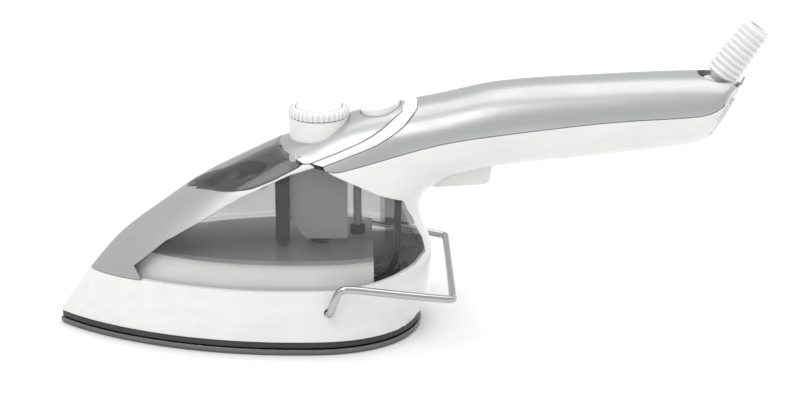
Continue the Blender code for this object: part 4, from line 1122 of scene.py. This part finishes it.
class Assembly:
    """A named group of pieces that share a purpose."""

    def __init__(self, shop: Paintshop) -> None:
        self.shop = shop

    def finish(self, obj: bpy.types.Object, slot: str, body: Body, *nodes: str) -> None:
        """Paint a piece, hang it on its body and hide what it stands for.

        Args:
            obj: The piece.
            slot: Its material slot.
            body: The body it moves with.
            nodes: Working parts that it stands for.
        """
        self.shop.lay(obj, slot)
        if nodes:
            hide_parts(*nodes)
        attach(obj, body.value)
        log.info("%s: %d faces, rides on %s", obj.name, len(obj.data.polygons), body.value)


@dataclass(frozen=True)
class Panel:
    """A panel of the body and where it belongs."""

    node: str
    slot: str
    body: Body = Body.IRON
    kind: Optional[str] = None


class Shells(Assembly):
    """Panels of the body: housing, nose, tank, lid, console, band and grip."""

    PANELS = (
        Panel("main_housing", "white_plastic"),
        Panel("front_shell", "silver_plastic"),
        Panel("water_tank", "smoky_plastic"),
        Panel("filler_door", "smoky_plastic", Body.DOOR, "smoky_lid"),
        Panel("console_panel", "silver_plastic"),
        Panel("console_trim", "white_plastic"),
        Panel("handle_top_shell", "silver_plastic"),
    )

    def build(self) -> None:
        """Fit and finish every panel."""
        fitter = PanelFitter(SkinGuide(0.0), SkinGuide(2.0))
        for panel in self.PANELS:
            obj = fitter.fit(panel.node)
            self.finish(obj, panel.slot, panel.body, panel.node)
            if panel.kind:
                self.shop.lay(obj, panel.slot, panel.kind)


class SoleUnit(Assembly):
    """Polished soleplate and the dark ring above it."""

    def build(self) -> None:
        """Make the plate, its steam holes and the ring."""
        edge = [(1.3, 0.0), (0.8, 0.04), (0.42, 0.2), (0.16, 0.46), (0.03, 0.8), (0.0, 1.2),
                (0.0, SOLE_THICK - 0.25), (0.08, SOLE_THICK - 0.07), (0.3, SOLE_THICK)]
        plate = placed("soleplate_polished", self.stacked(edge), 30.0)
        holes = self.hole_cutter()
        cutting = plate.modifiers.new("holes", "BOOLEAN")
        cutting.operation = "DIFFERENCE"
        cutting.solver = "EXACT"
        cutting.object = holes
        seen = bpy.context.evaluated_depsgraph_get()
        seen.update()
        drilled = bpy.data.meshes.new_from_object(plate.evaluated_get(seen))
        for old in (plate, holes):
            bpy.data.objects.remove(old, do_unlink=True)
        bm = bmesh.new()
        bm.from_mesh(drilled)
        self.finish(placed("shown_soleplate", bm, 30.0), "sole_metal", Body.IRON, "soleplate")
        ring = [(0.85, SHIELD_LOW), (0.6, SHIELD_LOW + 0.25), (0.6, SHIELD_HIGH - 0.25),
                (0.85, SHIELD_HIGH), (7.0, SHIELD_HIGH), (7.0, SHIELD_LOW)]
        bm = self.stacked(ring, closed=True)
        self.finish(placed("shown_heat_shield", bm), "charcoal_resin", Body.IRON, "heat_shield")

    @staticmethod
    def stacked(rows: Sequence[Point], closed: bool = False) -> bmesh.types.BMesh:
        """Stack the sole's outline at insets and heights."""
        bm = bmesh.new()
        rings = []
        for inset, height in rows:
            line = BodySurface(inset).sole_outline(110)
            rings.append([bm.verts.new((x * MM, y * MM, height * MM)) for x, y in line])
        bridged(bm, rings, closed)
        return bm

    @staticmethod
    def hole_cutter() -> bpy.types.Object:
        """All steam-hole cutters as one object, with a countersink each."""
        ring = BodySurface(11.0).sole_outline(40)
        front = ring[: len(ring) // 2]
        bm = bmesh.new()
        profile = [(STEAM_HOLE_RADIUS + 0.5, -1.0), (STEAM_HOLE_RADIUS + 0.45, 0.0),
                   (STEAM_HOLE_RADIUS, 0.4), (STEAM_HOLE_RADIUS, 4.0)]
        for i in range(STEAM_HOLES_A_SIDE):
            p = along(front, 0.07 + 0.72 * i / (STEAM_HOLES_A_SIDE - 1))
            for side in (1.0, -1.0):
                one = turned(profile, Vector((p.x, side * p.y, 0.0)) * MM, Vector((0, 0, 1)), 24)
                mesh = bpy.data.meshes.new("hole")
                one.to_mesh(mesh)
                one.free()
                bm.from_mesh(mesh)
                bpy.data.meshes.remove(mesh)
        return placed("hole_cutter", bm)


class SteamDial(Assembly):
    """Ribbed steam knob, its top disc and the bowl under it."""

    def build(self) -> None:
        """Make the knob's shown pieces."""
        up = Vector((0, 0, 1))
        base = Vector((KNOB_X, 0.0, KNOB_UNDER_Z)) * MM
        r, h = KNOB_RADIUS - 0.75, KNOB_RIM
        rim = rounded([(3.4, 0.0, 0), (r - 0.2, 0.0, 0.3), (r, h - 1.4, 0.8), (r - 1.5, h, 0.5),
                       (9.5, h, 0.25), (9.4, h - 1.2, 0), (3.4, h - 1.2, 0)], closed=True)
        core = placed("knob_core", turned(rim, base, up, 136, closed=True))
        self.shop.lay(core, "white_plastic")
        unit = placed("knob_rib", self.rib(h))
        spots = ring_points(r * MM, tuple(base))
        knob = repeated("shown_steam_knob", unit, KNOB_RIB_COUNT,
                        self.shop.materials["white_plastic"], spots, core)
        self.finish(knob, "white_plastic", Body.KNOB, "steam_knob")
        face = h - 1.2 + 0.3
        disc = rounded([(3.0, face, 0), (9.1, face, 0.1), (9.1, face + 0.9, 0.25),
                        (8.6, face + 1.3, 0.4), (0.4, face + 1.55, 0)])
        disc = [(0.4, face)] + disc[1:]
        bm = turned(disc, base, up, 96)
        self.finish(placed("shown_knob_disc", bm), "white_plastic", Body.KNOB, "knob_disc")
        bowl = [(10.35, -1.5), (10.4, 0.4), (10.9, 1.8), (11.35, 3.4), (11.6, 5.0), (11.75, 7.0),
                (11.85, 9.5), (11.9, 13.0), (11.8, 13.6), (11.4, 13.9), (3.4, 13.9), (3.4, -1.5)]
        bm = turned(bowl, Vector((KNOB_X, 0.0, PEDESTAL_LOW_Z)) * MM, up, 96, closed=True)
        self.finish(placed("shown_knob_pedestal", bm), "white_plastic", Body.IRON,
                    "knob_pedestal")

    @staticmethod
    def rib(height: float) -> bmesh.types.BMesh:
        """One rounded grip rib, standing out from the rim."""
        bm = bmesh.new()
        rings = []
        out, half = 0.72, 0.62
        levels = [(0.12, 0.55), (0.35, 0.9), (height - 1.5, 1.0), (height - 0.9, 0.7),
                  (height - 0.55, 0.2)]
        for z, share in levels:
            ring = []
            for k in range(9):
                a = math.pi * k / 8
                lean = 0.0 if z < height - 1.6 else -0.35 * (z - height + 1.6)
                x = (out * share * math.sin(a) ** 0.8 + lean - 0.05) * MM
                ring.append(bm.verts.new((x, half * math.cos(a) * MM, z * MM)))
            ring.append(bm.verts.new((-0.9 * MM, -half * MM, z * MM)))
            ring.append(bm.verts.new((-0.9 * MM, half * MM, z * MM)))
            rings.append(ring)
        bridged(bm, rings)
        return bm


class IndicatorPad(Assembly):
    """Raised pale pad over the pilot lamp."""

    def build(self) -> None:
        """Make the pad with a crowned top and a fine groove round it."""
        centre = Vector(PAD_CENTRE) * MM
        ahead, behind = PAD_STATIONS
        slope = math.atan2(curve(RIDGE, behind) - curve(RIDGE, ahead), behind - ahead)
        up = Vector((-math.sin(slope), 0.0, math.cos(slope)))
        rows = [(0.9, -1.6), (0.9, 0.9), (0.895, 1.2), (0.87, 1.5), (0.82, 1.72), (0.7, 1.92),
                (0.5, 2.1), (0.25, 2.19), (0.04, 2.2)]
        bm = bmesh.new()
        rings = []
        for share, height in rows:
            ring = []
            for i in range(80):
                angle = 2.0 * math.pi * i / 80
                px = PAD_HALF_LENGTH * share * math.cos(angle)
                py = PAD_HALF_WIDTH * share * math.sin(angle)
                spot = Vector((px * math.cos(slope), py, px * math.sin(slope))) * MM
                ring.append(bm.verts.new(centre + spot + up * height * MM))
            rings.append(ring)
        bridged(bm, rings)
        self.finish(placed("shown_indicator_lens", bm), "white_plastic", Body.IRON,
                    "indicator_lens")


class CordSleeve(Assembly):
    """Ribbed sleeve that turns in the rear of the handle."""

    def build(self) -> None:
        """Make the core, then repeat one rib along it."""
        way = Vector((math.cos(SLEEVE_TILT), 0.0, math.sin(SLEEVE_TILT)))
        base = Vector((SLEEVE_BASE[0], 0.0, SLEEVE_BASE[1])) * MM
        ball = 5.8
        rows = [(3.2, -12.4)]
        for i in range(15):
            angle = math.radians(-60.0 + 120.0 * i / 14)
            rows.append((ball * math.cos(angle), -7.0 + ball * math.sin(angle)))
        end = 0.8 + (SLEEVE_RIB_COUNT - 1) * SLEEVE_RIB_PITCH + 1.9
        rows += [(4.8, -0.6), (5.6, 0.3), (5.95, 0.9), (5.1, end - 0.1), (4.9, end), (3.2, end)]
        core = placed("sleeve_core", turned(rows, base, way, 72, closed=True))
        self.shop.lay(core, "white_plastic")
        ring = rounded([(5.0, 0.0, 0), (6.7, 0.0, 0.35), (7.0, 0.55, 0.4), (6.95, 1.3, 0.4),
                        (6.1, 1.75, 0.3), (5.0, 1.8, 0)], 4, closed=True)
        unit = placed("sleeve_rib", turned(ring, Vector((0, 0, 0)), Vector((0, 0, 1)), 72, True))
        turn = way.to_track_quat("Z", "Y").to_euler()
        spots = line_points(way * SLEEVE_RIB_PITCH * MM, base + way * 0.5 * MM, tuple(turn), 0.16)
        sleeve = repeated("shown_cord_sleeve", unit, SLEEVE_RIB_COUNT,
                          self.shop.materials["white_plastic"], spots, core)
        self.finish(sleeve, "white_plastic", Body.SWIVEL, "cord_sleeve")


class WireStand(Assembly):
    """Bent wire bail that the iron leans on."""

    def build(self) -> None:
        """Sweep a round wire along the bail's line."""
        x, z = STAND_PIVOT
        side = [
            (x, 33.5, z), (x, 38.6, z), (x + 0.8, 41.0, z + 1.8), (x + 2.6, 41.4, z + 7.2),
            (x + 4.6, 41.4, z + 10.4), (x + 9.0, 41.2, z + 11.0), (62.0, 39.4, 25.8),
            (80.6, 37.0, 22.8), (83.4, 35.4, 22.4), (83.8, 32.4, 22.4),
        ]
        loop = side + [(83.8, 0.0, 22.4)] + [(px, -py, pz) for px, py, pz in side[::-1]]
        path = [Vector(p) * MM for p in flowing(loop, 10)]
        bm = bmesh.new()
        rings = []
        side_way = Vector((1.0, 0.0, 0.0))
        for i, p in enumerate(path):
            ahead = (path[min(i + 1, len(path) - 1)] - path[max(i - 1, 0)]).normalized()
            side_way = (side_way - ahead * side_way.dot(ahead)).normalized()
            other = ahead.cross(side_way)
            ring = []
            for k in range(24):
                angle = 2.0 * math.pi * k / 24
                spot = side_way * math.cos(angle) + other * math.sin(angle)
                ring.append(bm.verts.new(p + spot * WIRE_RADIUS * MM))
            rings.append(ring)
        bridged(bm, rings)
        self.finish(placed("shown_stand_wire", bm), "bright_steel", Body.STAND, "stand_wire")


class CarriedOver(Assembly):
    """Working parts that are shown as they are, each with its own finish."""

    def build(self) -> None:
        """Finish every working part that nothing stands for."""
        slots = {s["node"]: s["material_slot"] for s in frame["record"]["subparts"]}
        for name, obj in frame["nodes"].items():
            if not obj.hide_render:
                self.shop.lay(obj, slots[name])
        log.info("working parts finished")


# ---------------------------------------------------------------- studio

@dataclass
class Studio:
    """Pale floor, soft lights and the camera."""

    azimuth: float = -1.5
    elevation: float = 19.5
    distance: float = 1.05
    target: Triple = (0.0640, 0.0, 0.0488)
    frame_width: float = 0.3200

    def build(self) -> None:
        """Set the floor, the lights and the camera."""
        self.floor()
        self.lights()
        self.camera()

    def floor(self) -> None:
        """Lay a wide pale sheet under the iron."""
        bm = bmesh.new()
        corners = ((-FLOOR_HALF, -FLOOR_HALF), (FLOOR_HALF, -FLOOR_HALF),
                   (FLOOR_HALF, FLOOR_HALF), (-FLOOR_HALF, FLOOR_HALF))
        bm.faces.new([bm.verts.new((x, y, -FLOOR_DROP)) for x, y in corners])
        mesh = bpy.data.meshes.new("studio_floor")
        bm.to_mesh(mesh)
        bm.free()
        floor = bpy.data.objects.new("studio_floor", mesh)
        bpy.context.scene.collection.objects.link(floor)
        material = bpy.data.materials.new("floor paper")
        material.use_nodes = True
        w = Wiring(material.node_tree)
        shader = material.node_tree.nodes["Principled BSDF"]
        noise = w.add("ShaderNodeTexNoise", {"Scale": 4.0, "Detail": 2.0})
        tone = w.add("ShaderNodeMix", {"Factor": noise.outputs["Fac"], 6: (0.87, 0.87, 0.87, 1.0),
                                       7: (0.89, 0.89, 0.89, 1.0)}, data_type="RGBA")
        w.join(tone.outputs[2], shader.inputs["Base Color"])
        shader.inputs["Roughness"].default_value = 0.9
        shader.inputs["Specular IOR Level"].default_value = 0.1
        mesh.materials.append(material)

    def lights(self) -> None:
        """Hang three soft boxes and light the surroundings evenly."""
        world = bpy.data.worlds.new("studio")
        world.use_nodes = True
        world.node_tree.nodes["Background"].inputs["Color"].default_value = (1.0, 1.0, 1.0, 1.0)
        world.node_tree.nodes["Background"].inputs["Strength"].default_value = 0.72
        bpy.context.scene.view_settings.view_transform = "Standard"
        bpy.context.scene.world = world
        rows = (
            ("key_box", (-0.35, -0.55, 0.95), 0.9, 0.6, 5.0),
            ("top_box", (0.25, 0.25, 1.25), 1.4, 0.9, 7.0),
            ("rear_box", (0.95, 0.45, 0.55), 0.5, 0.7, 2.5),
        )
        for name, place, wide, tall, power in rows:
            light = bpy.data.lights.new(name, "AREA")
            light.shape = "RECTANGLE"
            light.size, light.size_y, light.energy = wide, tall, power
            lamp = bpy.data.objects.new(name, light)
            lamp.location = place
            aim = Vector(self.target) - Vector(place)
            lamp.rotation_euler = aim.to_track_quat("-Z", "Y").to_euler()
            bpy.context.scene.collection.objects.link(lamp)

    def camera(self) -> None:
        """Aim the camera at the iron's side from a little above."""
        a, e = math.radians(self.azimuth), math.radians(self.elevation)
        back = Vector((math.sin(a) * math.cos(e), -math.cos(a) * math.cos(e), math.sin(e)))
        data = bpy.data.cameras.new("camera")
        data.sensor_width = 36.0
        data.lens = 36.0 * self.distance / self.frame_width
        camera = bpy.data.objects.new("camera", data)
        camera.location = Vector(self.target) + back * self.distance
        camera.rotation_euler = (-back).to_track_quat("-Z", "Y").to_euler()
        bpy.context.scene.collection.objects.link(camera)
        bpy.context.scene.camera = camera


def main() -> None:
    """Build the iron's looks and its studio."""
    for left_over in [o for o in bpy.data.objects if o.type in {"LIGHT", "CAMERA"}]:
        bpy.data.objects.remove(left_over, do_unlink=True)
    shop = Paintshop()
    for assembly in (Shells, SoleUnit, SteamDial, IndicatorPad, CordSleeve, WireStand,
                     CarriedOver):
        assembly(shop).build()
    Studio().build()


if __name__ == "__main__":
    main()
